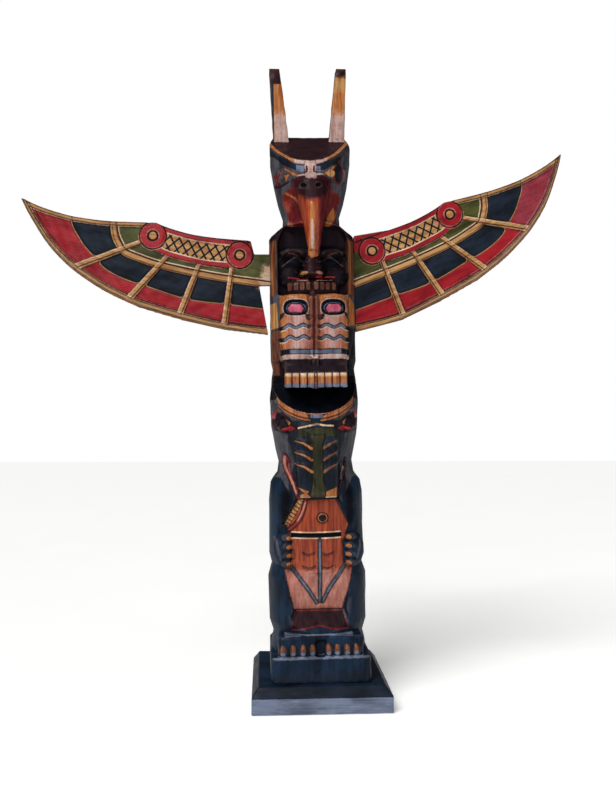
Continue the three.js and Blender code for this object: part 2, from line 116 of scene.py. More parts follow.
def rgb(tone: str) -> tuple[float, float, float, float]:
    """Turns a screen colour into the linear one that the shader takes.

    Args:
        tone: The colour as a hash sign and six hexadecimal digits.

    Returns:
        Red, green, blue and an alpha of one.
    """
    parts = [int(tone[i : i + 2], 16) / 255 for i in (1, 3, 5)]
    linear = [p / 12.92 if p <= 0.04045 else ((p + 0.055) / 1.055) ** 2.4 for p in parts]
    return (linear[0], linear[1], linear[2], 1.0)


# ---- Drawing -------------------------------------------------------------------------------------
@dataclass
class Spots:
    """The points of a skin as they lie on the drawing, and how far they face the front and the sky."""

    across: Array
    up: Array
    deep: Array
    facing: Array
    rising: Array

    def near(self, corners: Array, margin: float) -> Array:
        """Finds the spots in or close to the box around some corners.

        Args:
            corners: Points of the drawing, one a row.
            margin: How far outside the box a spot still counts, mm.

        Returns:
            The numbers of those spots.
        """
        low, high = corners.min(0) - margin, corners.max(0) + margin
        wide = (self.across > low[0]) & (self.across < high[0])
        return np.flatnonzero(wide & (self.up > low[1]) & (self.up < high[1]))


class Shape:
    """Something drawn on the front view, known by how far inside it each spot lies."""

    def inside(self, spots: Spots) -> Array:
        """Gives millimetres inside the outline, negative outside it."""
        raise NotImplementedError


@dataclass(frozen=True)
class Everywhere(Shape):
    """The whole drawing."""

    def inside(self, spots: Spots) -> Array:
        """Gives every spot as far inside."""
        return np.full(len(spots.up), FAR)


def nearest(spots: Spots, near: Array, start: Array, end: Array) -> tuple[Array, Array]:
    """Measures to a straight line between two points.

    Args:
        spots: The points of the skin.
        near: The numbers of those that are measured.
        start: The line's first point.
        end: Its last point.

    Returns:
        The share of the line at which each spot is nearest to it, and how far off it lies.
    """
    run, rise = end - start
    across, up = spots.across[near] - start[0], spots.up[near] - start[1]
    along = np.clip((across * run + up * rise) / max(run * run + rise * rise, 1e-9), 0, 1)
    return along, np.hypot(across - run * along, up - rise * along)


@dataclass(frozen=True)
class Patch(Shape):
    """An area with straight sides; grow pushes its outline out and rounds its corners."""

    corners: Points
    grow: float = 0.0

    def inside(self, spots: Spots) -> Array:
        """Gives the distance to the nearest side.

        Args:
            spots: The points of the skin.

        Returns:
            Millimetres inside the patch.
        """
        corners = np.array(self.corners, float)
        near = spots.near(corners, REACH + self.grow)
        across, up = spots.across[near], spots.up[near]
        closest = np.full(len(near), FAR)
        within = np.zeros(len(near), bool)
        for start, end in zip(corners, np.roll(corners, -1, 0)):
            closest = np.minimum(closest, nearest(spots, near, start, end)[1])
            run, rise = end - start
            if rise:
                crosses = (up >= min(start[1], end[1])) & (up < max(start[1], end[1]))
                within ^= crosses & (across < start[0] + (up - start[1]) * run / rise)
        result = np.full(len(spots.up), -REACH)
        result[near] = np.where(within, closest, -closest) + self.grow
        return result


@dataclass(frozen=True)
class Stroke(Shape):
    """A brush or gouge stroke along a line; tip is its width at the last point."""

    points: Points
    width: float
    tip: float | None = None
    curved: bool = True

    def path(self) -> Array:
        """Rounds the line through its points.

        Returns:
            Points along the stroke, closer together where it is curved.
        """
        points = np.array(self.points, float)
        if not self.curved or len(points) < 3:
            return points
        ends = np.vstack([2 * points[0] - points[1], points, 2 * points[-1] - points[-2]])
        steps = np.linspace(0, 1, 7)[:-1, None]
        spans = []
        for a, b, c, d in zip(ends, ends[1:], ends[2:], ends[3:]):
            bend = (2 * a - 5 * b + 4 * c - d) * steps**2 + (3 * b - a - 3 * c + d) * steps**3
            spans.append(0.5 * (2 * b + (c - a) * steps + bend))
        return np.vstack([*spans, points[-1:]])

    def inside(self, spots: Spots) -> Array:
        """Gives how far inside the stroke's edge each spot lies.

        Args:
            spots: The points of the skin.

        Returns:
            Millimetres inside the stroke.
        """
        path = self.path()
        tip = self.width if self.tip is None else self.tip
        near = spots.near(path, REACH + max(self.width, tip) / 2)
        best = np.full(len(near), -FAR)
        last = len(path) - 1
        for i, (start, end) in enumerate(zip(path, path[1:])):
            along, gap = nearest(spots, near, start, end)
            half = (self.width + (tip - self.width) * (i + along) / last) / 2
            best = np.maximum(best, half - gap)
        result = np.full(len(spots.up), -REACH)
        result[near] = best
        return result


def smooth_line(points: Points) -> list[Point]:
    """Rounds a line through its points."""
    return [tuple(point) for point in Stroke(points, 1.0).path()]


@dataclass(frozen=True)
class Oval(Shape):
    """An oval, or with a higher power a rectangle with round corners; turn is in degrees."""

    centre: Point
    half: Point
    turn: float = 0.0
    power: float = 2.0

    def inside(self, spots: Spots) -> Array:
        """Gives the distance to the edge along the ray from the middle.

        Args:
            spots: The points of the skin.

        Returns:
            Millimetres inside the oval.
        """
        angle = math.radians(self.turn)
        across, up = spots.across - self.centre[0], spots.up - self.centre[1]
        side = across * math.cos(angle) + up * math.sin(angle)
        rise = up * math.cos(angle) - across * math.sin(angle)
        shares = np.abs(side / self.half[0]) ** self.power + np.abs(rise / self.half[1]) ** self.power
        share = np.maximum(shares ** (1 / self.power), 1e-6)
        radius = np.hypot(side, rise)
        return np.maximum(radius / share - radius, -FAR)


@dataclass(frozen=True)
class Below(Shape):
    """A band that follows a slanted saw cut: between two heights measured down from the cut."""

    level: float
    slope: float
    top: float
    bottom: float

    def inside(self, spots: Spots) -> Array:
        """Gives how far inside the band each spot lies."""
        down = self.level + self.slope * spots.deep - spots.up
        return np.minimum(down - self.top, self.bottom - down)


@dataclass(frozen=True)
class Rim(Shape):
    """The outline of a shape, drawn with a given width."""

    shape: Shape
    width: float

    def inside(self, spots: Spots) -> Array:
        """Gives how far inside the line each spot lies."""
        return self.width / 2 - np.abs(self.shape.inside(spots))


@dataclass(frozen=True)
class Common(Shape):
    """Where several shapes lie over each other."""

    shapes: tuple[Shape, ...]

    def inside(self, spots: Spots) -> Array:
        """Gives the least of the shapes' distances."""
        return np.minimum.reduce([shape.inside(spots) for shape in self.shapes])


@dataclass(frozen=True)
class Joined(Shape):
    """All of several shapes."""

    shapes: tuple[Shape, ...]

    def inside(self, spots: Spots) -> Array:
        """Gives the greatest of the shapes' distances."""
        return np.maximum.reduce([shape.inside(spots) for shape in self.shapes])


@dataclass(frozen=True)
class Rounded(Shape):
    """Where two shapes lie over each other, with the corners between them rounded."""

    first: Shape
    second: Shape
    radius: float

    def inside(self, spots: Spots) -> Array:
        """Gives the lesser of the two distances, eased where both are small.

        Args:
            spots: The points of the skin.

        Returns:
            Millimetres inside the rounded shape.
        """
        first, second = self.first.inside(spots), self.second.inside(spots)
        short = np.hypot(np.maximum(self.radius - first, 0), np.maximum(self.radius - second, 0))
        least = np.minimum(first, second)
        return np.where(least > self.radius, least, self.radius - short)


@dataclass(frozen=True)
class Outside(Shape):
    """Everything outside a shape."""

    shape: Shape

    def inside(self, spots: Spots) -> Array:
        """Gives how far outside the shape each spot lies."""
        return -self.shape.inside(spots)


@dataclass(frozen=True)
class Mirrored(Shape):
    """A shape seen in a mirror that stands on the middle line."""

    shape: Shape

    def inside(self, spots: Spots) -> Array:
        """Measures the shape at the mirrored spots."""
        return self.shape.inside(replace(spots, across=-spots.across))


CUT = 0.55  # depth of the V cut with which the maker sets off one colour from the next, mm
TURN_WIDTH = 12.0  # how many mm a full turn of the surface counts for at a mark's end


@dataclass(frozen=True)
class Mark:
    """One area of the drawing: its paint, and how the tool shapes the wood under it."""

    shape: Shape
    paint: Paint | None = None
    raised: float = 0.0  # mm the wood stands proud, negative is cut away
    soft: float = 0.5  # mm over which the wood rises
    trench: float = 0.0  # depth of a V cut along the outline, mm
    front: float = -FAR  # nearest depth that it reaches, mm
    back: float = -1.0  # farthest depth that it reaches, mm
    facing: float = 0.0  # least share of the surface's direction that is to the front
    rising: Point = (-2.0, 2.0)  # least and greatest share that is to the sky
    fade: float = 0.0  # mm over which the paint thins out

    def gate(self, spots: Spots) -> Array:
        """Gives how far each spot lies inside the mark's depth and direction.

        Args:
            spots: The points of the skin.

        Returns:
            Millimetres inside both.
        """
        depth = np.minimum(spots.deep - self.front, self.back - spots.deep)
        turned = np.minimum(spots.rising - self.rising[0], self.rising[1] - spots.rising)
        return np.minimum(depth, np.minimum(spots.facing - self.facing, turned) * TURN_WIDTH)

    def reach(self, spots: Spots) -> Array:
        """Gives how far inside the mark each spot lies: outline, depth and direction."""
        return np.minimum(self.shape.inside(spots), self.gate(spots))


def mirrored(marks: Iterable[Mark]) -> list[Mark]:
    """Makes each mark also on the other side.

    Args:
        marks: The marks of the right side.

    Returns:
        The marks of both sides.
    """
    return [copy for mark in marks for copy in (mark, replace(mark, shape=Mirrored(mark.shape)))]


def stroke(paint: Paint | None, width: float, *points: Point, **values: float) -> Mark:
    """Makes a brush or gouge stroke.

    Args:
        paint: Its paint, or None for a bare cut.
        width: How wide it is, mm.
        *points: What it runs through.
        **values: The stroke's tip and curved, and any values of the mark.

    Returns:
        The mark.
    """
    own = {name: values.pop(name) for name in ("tip", "curved") if name in values}
    return Mark(Stroke(points, width, **own), paint, **values)


def patch(paint: Paint, *corners: Point, grow: float = 0.0, **values: float) -> Mark:
    """Makes a mark with straight sides through its corners, pushed out by grow."""
    return Mark(Patch(corners, grow), paint, **values)


def bar(paint: Paint, left: float, low: float, right: float, high: float, **values: float) -> Mark:
    """Makes an upright rectangle from its left, low, right and high sides."""
    return Mark(area(left, low, right, high), paint, **values)


def oval(
    paint: Paint | None, centre: Point, half: Point, turn: float = 0.0, power: float = 2.0, **values: float
) -> Mark:
    """Makes an oval, turned by some degrees; a higher power squares it."""
    return Mark(Oval(centre, half, turn, power), paint, **values)


def ground(shape: Shape, paint: Paint) -> Mark:
    """Makes a mark that goes right round the wood."""
    return Mark(shape, paint, back=FAR, facing=-2)


def area(left: float, low: float, right: float, high: float) -> Patch:
    """Draws an upright rectangle from its left, low, right and high sides."""
    return Patch(((left, low), (right, low), (right, high), (left, high)))


# ---- The bench -----------------------------------------------------------------------------------
def choose(*pieces: bpy.types.Object) -> None:
    """Selects only some pieces, with the last one active.

    Args:
        *pieces: The pieces to select.
    """
    bpy.ops.object.select_all(action="DESELECT")
    for piece in pieces:
        piece.select_set(True)
    bpy.context.view_layer.objects.active = pieces[-1]


def apply_modifier(piece: bpy.types.Object, kind: str, **values: object) -> None:
    """Adds a modifier to a piece and applies it.

    Args:
        piece: The piece.
        kind: The modifier's type.
        **values: The modifier's own settings.
    """
    choose(piece)
    modifier = piece.modifiers.new(kind.lower(), kind)
    for name, value in values.items():
        setattr(modifier, name, value)
    bpy.ops.object.modifier_apply(modifier=modifier.name)


def rough_out(make: Callable, centre: Sequence[float], size: Sequence[float]) -> bpy.types.Object:
    """Makes a simple solid at its place.

    Args:
        make: What adds the solid, one metre in size.
        centre: Its middle, mm.
        size: What its sides are stretched to, mm.

    Returns:
        The solid, with its size in its mesh.
    """
    bpy.ops.object.select_all(action="DESELECT")
    make(location=[value * MM for value in centre], scale=[value * MM for value in size])
    bpy.ops.object.transform_apply(location=True, rotation=True, scale=True)
    return bpy.context.active_object


def egg(centre: Sequence[float], radii: Sequence[float]) -> bpy.types.Object:
    """Turns an egg, for an eye, a knuckle or a cheek, from its middle and its half sizes in mm."""
    return rough_out(
        partial(bpy.ops.mesh.primitive_uv_sphere_add, segments=28, ring_count=14, radius=1), centre, radii
    )


def peg(centre: Sequence[float], size: Sequence[float], round_off: float) -> bpy.types.Object:
    """Cuts a small block with rounded edges, for a tooth or a rail.

    Args:
        centre: Its middle, mm.
        size: Its whole sizes, mm.
        round_off: How much its edges are rounded, mm.

    Returns:
        The block, with its size in its mesh.
    """
    block = rough_out(partial(bpy.ops.mesh.primitive_cube_add, size=1), centre, size)
    bpy.ops.object.mode_set(mode="EDIT")
    bpy.ops.mesh.select_all(action="SELECT")
    bpy.ops.mesh.bevel(offset=round_off * MM, segments=3, affect="EDGES")
    bpy.ops.object.mode_set(mode="OBJECT")
    return block


def tilt(part: bpy.types.Object, angle: float) -> None:
    """Turns a part about its own middle so that its back rises.

    Args:
        part: The part, the only one selected.
        angle: How far, radians.
    """
    corners = [Vector(corner) for corner in part.bound_box]
    middle = sum(corners, Vector()) / len(corners)
    bpy.ops.transform.rotate(value=-angle, orient_axis="X", center_override=middle)
    bpy.ops.object.transform_apply(location=True, rotation=True, scale=True)


def smooth_step(values: Array) -> Array:
    """Eases from 0 to 1 as the values go from 0 to 1."""
    share = np.clip(values, 0, 1)
    return share * share * (3 - 2 * share)


def ripple(places: Array, size: float, seed: int) -> Array:
    """Makes the gentle unevenness that a knife leaves.

    Args:
        places: Points of the skin, mm.
        size: How far apart its hollows are, mm.
        seed: Which of many patterns it is.

    Returns:
        A height for each point, mostly between -1 and 1.
    """
    draw = np.random.default_rng(seed)
    height = np.zeros(len(places))
    for _ in range(RIPPLE_WAVES):
        direction = draw.normal(size=3)
        direction *= 2 * math.pi / (size * draw.uniform(0.6, 1.7) * np.linalg.norm(direction))
        height += np.sin(places @ direction + draw.uniform(0, 2 * math.pi))
    return height / math.sqrt(RIPPLE_WAVES)


RIPPLE_WAVES = 9
TRENCH_HALF = 0.85  # half the width of a V cut, mm
KNIFE = 0.13  # depth of the knife's unevenness, mm
KNIFE_SIZE = 11.0  # how far apart its hollows are, mm
KNIFE_SEED = 7
FLAT_FACING = 0.3  # how far a face has to look to the front before a flat piece is cut there
NEAR_BEND, WIDE_BEND = 4.2, 1.1  # how much the close and the wider bend of the skin count as hollow
PLAIN = 2.5  # distance from any outline at which the skin may be thinned freely, mm
LEVELS = 10  # steps in which that freedom is noted
FREE, HELD = 1.0, 0.12  # how free a spot is to be thinned: on plain wood, and at an edge of colour
NUDGE = 0.05  # step over which an outline's direction is measured, mm
OVERLAP = 0.3  # how far a paint stays on under the soft edge of the next one
EASES = 8  # rounds over which hollows and edges are spread
HOLLOW_SCALE = 0.6  # size of the skin's squares at which the hollows are measured, mm


@dataclass
class Carving:
    """A piece on the bench, laid so that its front view is the drawing."""

    name: str
    node: str
    laid: Matrix  # from its place on the bench to its place in the frame
    side: int = 1  # -1 where the drawing is seen in a mirror
    grit: float = 0.9  # size of the skin's squares, mm
    flat: bool = False  # whether only its front is cut
    piece: bpy.types.Object | None = field(default=None, repr=False)
    fine: tuple[Array, Array] | None = field(default=None, repr=False)  # the carved skin and its hollows

    def take_up(self, extras: Sequence[bpy.types.Object] = ()) -> None:
        """Copies the construction's solid, joins fine parts to it and gives the whole one skin.

        Args:
            extras: Parts that are made at their place on the bench.
        """
        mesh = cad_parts[self.node].data.copy()
        mesh.materials.clear()
        mesh.transform(self.laid.inverted())
        self.piece = bpy.data.objects.new(self.name, mesh)
        bpy.context.scene.collection.objects.link(self.piece)
        choose(self.piece)
        bpy.ops.object.mode_set(mode="EDIT")
        bpy.ops.mesh.select_all(action="SELECT")
        bpy.ops.mesh.remove_doubles(threshold=MM * MM)
        bpy.ops.object.mode_set(mode="OBJECT")
        if extras:
            choose(*extras, self.piece)
            bpy.ops.object.join()
        grit = self.grit * 1.0 * MM
        apply_modifier(self.piece, "REMESH", mode="VOXEL", voxel_size=grit, adaptivity=0)
        apply_modifier(self.piece, "SMOOTH", factor=0.5, iterations=3)

    def read(self) -> tuple[Array, Array]:
        """Reads the skin.

        Returns:
            The points in mm and their directions.
        """
        vertices = self.piece.data.vertices
        places = np.empty(len(vertices) * 3)
        normals = np.empty(len(vertices) * 3)
        vertices.foreach_get("co", places)
        vertices.foreach_get("normal", normals)
        return places.reshape(-1, 3) / MM, normals.reshape(-1, 3)

    def spots(self) -> Spots:
        """Lays the skin's points on the drawing.

        Returns:
            The spots, in the order of the points.
        """
        places, normals = self.read()
        return Spots(places[:, 0] * self.side, places[:, 2], places[:, 1], -normals[:, 1], normals[:, 2])

    def trim(self, outline: Shape, slope: float = 0.0, back: float = 0.0) -> None:
        """Pares away what stands outside an outline.

        Args:
            outline: The outline on the drawing.
            slope: How much farther in the outline lies for each mm that a spot is in front of the back.
            back: Depth of the back, mm.
        """
        places = self.read()[0]
        spots = self.spots()
        inside = outline.inside(spots)
        spare = np.minimum(inside - slope * (back - spots.deep), 0)
        spare[inside <= -REACH] = 0
        aside = (outline.inside(replace(spots, across=spots.across + NUDGE)) - inside) / NUDGE
        above = (outline.inside(replace(spots, up=spots.up + NUDGE)) - inside) / NUDGE
        places[:, 0] -= self.side * aside * spare
        places[:, 2] -= above * spare
        self.piece.data.vertices.foreach_set("co", (places * MM).ravel())
        self.piece.data.update()

    def carve(self, marks: Sequence[Mark]) -> None:
        """Cuts and raises the wood as the marks say, and leaves the knife's unevenness.

        Args:
            marks: The drawing.
        """
        places, normals = self.read()
        spots = self.spots()
        rise = KNIFE * ripple(places, KNIFE_SIZE, KNIFE_SEED)
        for mark in marks:
            if not (mark.raised or mark.trench):
                continue
            gate = mark.gate(spots)
            drawn = mark.shape.inside(spots)
            rise += mark.raised * smooth_step(np.minimum(drawn, gate) / mark.soft)
            cut = np.clip(1 - np.abs(drawn) / TRENCH_HALF, 0, 1) * np.clip(gate, 0, 1)
            rise -= mark.trench * cut
        if self.flat:
            rise *= np.clip((spots.facing - FLAT_FACING) * 3, 0, 1)
        places += normals * rise[:, None]
        self.piece.data.vertices.foreach_set("co", (places * MM).ravel())
        self.piece.data.update()
        if self.grit:
            self.fine = (places, self.hollows())

    def thin(self, marks: Sequence[Mark], most: int) -> None:
        """Joins small faces where nothing is drawn, until the skin is light enough.

        Args:
            marks: The drawing, whose outlines are kept fine.
            most: The most triangles that stay.
        """
        mesh = self.piece.data
        mesh.calc_loop_triangles()
        count = len(mesh.loop_triangles)
        LOG.info("%s: %d triangles before thinning", self.name, count)
        if count <= most:
            return
        spots = self.spots()
        closest = np.full(len(spots.up), FAR)
        for mark in marks:
            closest = np.minimum(closest, np.abs(mark.reach(spots)))
        freedom = HELD + (FREE - HELD) * smooth_step((closest - 0.5) / (PLAIN - 0.5))
        group = self.piece.vertex_groups.new(name="freedom")
        levels = np.round(freedom * LEVELS).astype(int)
        for level in np.unique(levels):
            group.add(np.flatnonzero(levels == level).tolist(), float(level) / LEVELS, "REPLACE")
        ratio = most / count
        apply_modifier(self.piece, "DECIMATE", ratio=ratio, vertex_group="freedom", vertex_group_factor=0.4)
        self.piece.vertex_groups.clear()

    def note(self, name: str, values: Array) -> None:
        """Writes one number for each point, for the finish to read.

        Args:
            name: The number's name.
            values: One value a point.
        """
        attribute = self.piece.data.attributes.new(name, "FLOAT", "POINT")
        attribute.data.foreach_set("value", values.astype(np.float32))

    def paint(self, marks: Sequence[Mark]) -> set[Paint]:
        """Notes how far each spot lies inside each paint; a later mark lies over the earlier ones.

        Args:
            marks: The drawing, in the order in which it is painted.

        Returns:
            The paints that were used.
        """
        spots = self.spots()
        used = {mark.paint for mark in marks if mark.paint}
        fields = {paint: np.full(len(spots.up), -REACH) for paint in used}
        for mark in marks:
            if mark.paint is None:
                continue
            soft = max(1.0, mark.fade)
            drawn = mark.reach(spots) / soft
            spare = OVERLAP * (1 - 1 / soft)
            for paint, laid in fields.items():
                over = np.maximum(laid, drawn) if paint is mark.paint else np.minimum(laid, spare - drawn)
                fields[paint] = over
        for paint, laid in fields.items():
            self.note(f"paint_{paint.name.lower()}", np.clip(laid, -2, 2))
        hollow = self.carved_hollows(len(spots.up))
        self.note("hollow", np.clip(hollow, 0, 1))
        self.note("edge", np.clip(-hollow, 0, 1))
        return used

    def carved_hollows(self, count: int) -> Array:
        """Takes the hollows over from the carved skin as it was before it was thinned.

        Args:
            count: How many points there are now.

        Returns:
            A value for each point.
        """
        if self.fine is None:
            return np.zeros(count)
        places, hollow = self.fine
        if len(places) == count:
            return hollow
        tree = KDTree(len(places))
        for number, place in enumerate(places.tolist()):
            tree.insert(place, number)
        tree.balance()
        return hollow[[tree.find(place)[1] for place in self.read()[0].tolist()]]

    def hollows(self) -> Array:
        """Finds the hollows and edges of the skin.

        Returns:
            For each point about 1 in a deep groove, 0 on a plain face and -1 on a sharp edge.
        """
        places, normals = self.read()
        edges = np.empty(len(self.piece.data.edges) * 2, int)
        self.piece.data.edges.foreach_get("vertices", edges)
        first, second = edges.reshape(-1, 2).T
        count = len(places)
        links = np.bincount(first, minlength=count) + np.bincount(second, minlength=count)

        def spread(values: Array) -> Array:
            """Gives each point the mean of its neighbours' values."""
            total = np.bincount(first, values[second], count) + np.bincount(second, values[first], count)
            return total / np.maximum(links, 1)

        around = places
        bend = 0.0
        for rounds, share in ((2, NEAR_BEND), (EASES, WIDE_BEND)):
            for _ in range(rounds):
                around = np.column_stack([spread(around[:, axis]) for axis in range(3)])
            bend = bend + share * ((around - places) * normals).sum(1)
        return bend * HOLLOW_SCALE / self.grit

    def put_back(self, finish: bpy.types.Material) -> bpy.types.Object:
        """Lays the piece at its place in the frame, inside the construction's box, and dresses it.

        Args:
            finish: Its material.

        Returns:
            The finished piece.
        """
        mesh = self.piece.data
        mesh.transform(self.laid)
        places = self.read()[0]
        low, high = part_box(self.node)
        places = np.clip(places, np.array(low) / MM, np.array(high) / MM)
        mesh.vertices.foreach_set("co", (places * MM).ravel())
        mesh.materials.append(finish)
        mesh.polygons.foreach_set("use_smooth", np.ones(len(mesh.polygons), bool))
        mesh.update()
        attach(self.piece, "root")
        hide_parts(self.node)
        mesh.calc_loop_triangles()
        LOG.info("%s: %d triangles", self.name, len(mesh.loop_triangles))
        return self.piece


# ---- Shading -------------------------------------------------------------------------------------
class Shade:
    """A number in a material's node tree; its operators add Math nodes."""

    def __init__(self, desk: Desk, socket: bpy.types.NodeSocket) -> None:
        """Wraps a socket of a desk's node tree."""
        self.desk = desk
        self.socket = socket

    def _math(self, operation: str, first: Shade | float, second: Shade | float) -> Shade:
        """Adds one Math node.

        Args:
            operation: What it does.
            first: Its first number.
            second: Its second number.

        Returns:
            The result.
        """
        return self.desk.node("ShaderNodeMath", {"operation": operation}, {0: first, 1: second})

    def __add__(self, other: Shade | float) -> Shade:
        """Adds."""
        return self._math("ADD", self, other)

    def __sub__(self, other: Shade | float) -> Shade:
        """Subtracts."""
        return self._math("SUBTRACT", self, other)

    def __rsub__(self, other: float) -> Shade:
        """Subtracts, from the right."""
        return self._math("SUBTRACT", other, self)

    def __mul__(self, other: Shade | float) -> Shade:
        """Multiplies."""
        return self._math("MULTIPLY", self, other)

    def __rmul__(self, other: float) -> Shade:
        """Multiplies, from the right."""
        return self._math("MULTIPLY", other, self)


class Desk:
    """The node tree of one material, and short ways to add to it."""

    def __init__(self, name: str, turn: float = 0.0) -> None:
        """Starts an empty material, for a piece whose grain is turned."""
        self.turn = turn
        self.material = bpy.data.materials.new(name)
        self.material.use_nodes = True
        self.tree = self.material.node_tree
        self.tree.nodes.clear()

    def node(
        self,
        kind: str,
        settings: dict[str, object] | None = None,
        feeds: dict[str | int, object] | None = None,
        output: str | int = 0,
    ) -> Shade:
        """Adds one node.

        Args:
            kind: The node's type.
            settings: Its own settings, set first.
            feeds: Values or links for its sockets, by name or number.
            output: The socket to hand back.

        Returns:
            That output.
        """
        made = self.tree.nodes.new(kind)
        for name, value in (settings or {}).items():
            setattr(made, name, value)
        for name, value in (feeds or {}).items():
            if isinstance(value, Shade):
                self.tree.links.new(value.socket, made.inputs[name])
            else:
                made.inputs[name].default_value = value
        return Shade(self, made.outputs[output])

    def blend(self, below: object, above: object, share: Shade | float) -> Shade:
        """Lays one colour over another.

        Args:
            below: The first colour.
            above: The colour laid over it.
            share: How much of it shows.

        Returns:
            The blended colour.
        """
        return self.node("ShaderNodeMix", {"data_type": "RGBA"}, {0: share, 6: below, 7: above}, 2)

    def ramp(self, value: Shade, low: float, high: float, start: float = 0.0, end: float = 1.0) -> Shade:
        """Eases from start to end while a value goes from low to high.

        Args:
            value: What is measured.
            low: Where it starts.
            high: Where it ends.
            start: The first result.
            end: The last result.

        Returns:
            The eased number.
        """
        feeds = {0: value, 1: low, 2: high, 3: start, 4: end}
        return self.node("ShaderNodeMapRange", {"interpolation_type": "SMOOTHSTEP"}, feeds)

    def cloud(self, size: Sequence[float], detail: float = 4.0, rough: float = 0.55) -> Shade:
        """Makes soft random variation over the piece.

        Args:
            size: How long its clouds are across, into and up the piece, mm.
            detail: How many finer layers it has.
            rough: How strong the finer layers are.

        Returns:
            A number around one half.
        """
        place = self.node("ShaderNodeTexCoord", output="Object")
        feeds = {
            "Vector": place, "Rotation": (0.0, self.turn, 0.0), "Scale": [MM * length for length in size]
        }
        place = self.node("ShaderNodeMapping", {"vector_type": "TEXTURE"}, feeds)
        feeds = {"Vector": place, "Scale": 1.0, "Detail": detail, "Roughness": rough}
        return self.node("ShaderNodeTexNoise", {}, feeds)

    def noted(self, name: str) -> Shade:
        """Reads a number that was noted on the piece's points."""
        return self.node("ShaderNodeAttribute", {"attribute_name": name}, output="Fac")

    def wood(self, colour: Shade, rough: Shade, height: Shade, depth: float, coat: Shade) -> None:
        """Ends the tree in a varnished wood shader.

        Args:
            colour: Its colour.
            rough: Its roughness.
            height: Its fine relief, 0 to 1.
            depth: How deep that relief is, mm.
            coat: How much clear varnish lies on it.
        """
        bump = self.node("ShaderNodeBump", {}, {"Strength": 0.8, "Distance": depth * MM, "Height": height})
        values = {"Base Color": colour, "Roughness": rough, "Normal": bump, "Coat Weight": coat}
        values |= {"Coat Roughness": 0.25, "Specular IOR Level": 0.06}
        shader = self.node("ShaderNodeBsdfPrincipled", {}, values)
        self.node_out(shader)

    def node_out(self, shader: Shade) -> None:
        """Joins a shader to the material's output."""
        made = self.tree.nodes.new("ShaderNodeOutputMaterial")
        self.tree.links.new(shader.socket, made.inputs["Surface"])


@dataclass(frozen=True)
class PaintedWood:
    """Stains and brushed paints on carved wood under varnish, lighter at the edges (wear and painted
    highlight) and darker in the cuts (glaze and painted shade).
    """

    name: str
    grain: tuple[float, float, float]  # size of the wood's streaks across, into and up the piece, mm
    strokes: tuple[float, float, float]  # size of the brush strokes, the same way
    turn: float = 0.0  # how far the board is turned in the front view
    # how much the convex edges are lightened: worn paint and painted edge highlight
    edge_wear_and_highlight: float = 0.09
    bare: tuple[str, str] = ("#120a0c", "#2a1712")
    rubbed_and_lit_tone: str = "#d8b48c"
    # dark tone laid into hollows and cuts: a glaze and painted shade
    glaze_and_shade_tone: str = "#0c0608"
    edge: float = 0.22  # half the width of a painted edge, mm
    relief: float = 0.22  # depth of the grain and the brush marks, mm

    def make(self, paints: set[Paint]) -> bpy.types.Material:
        """Builds the material.

        Args:
            paints: The paints whose areas are noted on the piece.

        Returns:
            The material.
        """
        desk = Desk(self.name, self.turn)
        grain = desk.cloud(self.grain, 6.0, 0.65)
        bristle = desk.cloud(self.strokes, 4.0, 0.6)
        blotch = desk.cloud((18.0, 18.0, 18.0), 3.0)
        wobble = (desk.cloud((2.4, 2.4, 2.4), 2.0) - 0.5) * 0.5
        streaks = desk.ramp(grain, 0.36, 0.64)
        brushed = desk.ramp(bristle * 0.65 + blotch * 0.35, 0.38, 0.62)
        colour = desk.blend(rgb(self.bare[0]), rgb(self.bare[1]), brushed)
        rough: Shade | float = 0.4
        gloss: Shade | float = 0.05
        for paint in Paint:
            if paint not in paints:
                continue
            coat = paint.value
            mask = desk.ramp(desk.noted(f"paint_{paint.name.lower()}") + wobble, -self.edge, self.edge)
            tone = brushed * (1 - coat.grain) + streaks * coat.grain
            colour = desk.blend(colour, desk.blend(rgb(coat.dark), rgb(coat.light), tone), mask)
            rough = rough * (1 - mask) + mask * coat.rough
            gloss = gloss * (1 - mask) + mask * coat.gloss
        # Convex edges lighten: worn paint and a painted edge highlight.
        worn_and_lit_edges = desk.ramp(desk.noted("edge") * (blotch + 0.5), 0.4, 1.0) * self.edge_wear_and_highlight
        colour = desk.blend(colour, desk.blend(colour, rgb(self.rubbed_and_lit_tone), 0.55), worn_and_lit_edges)
        # Hollows and cuts darken: a glaze and painted shade.
        glaze_and_shade = desk.ramp(desk.noted("hollow"), 0.12, 0.85)
        colour = desk.blend(colour, rgb(self.glaze_and_shade_tone), glaze_and_shade * 0.7)
        rough = rough + (brushed - 0.5) * 0.14 + glaze_and_shade * 0.15
        height = streaks * 0.45 + bristle * 0.4 + grain * 0.3
        desk.wood(colour, rough, height, self.relief, gloss)
        return desk.material


# ---- The creatures -------------------------------------------------------------------------------
BEYOND = 46.0  # from the middle of the log to past its side, mm


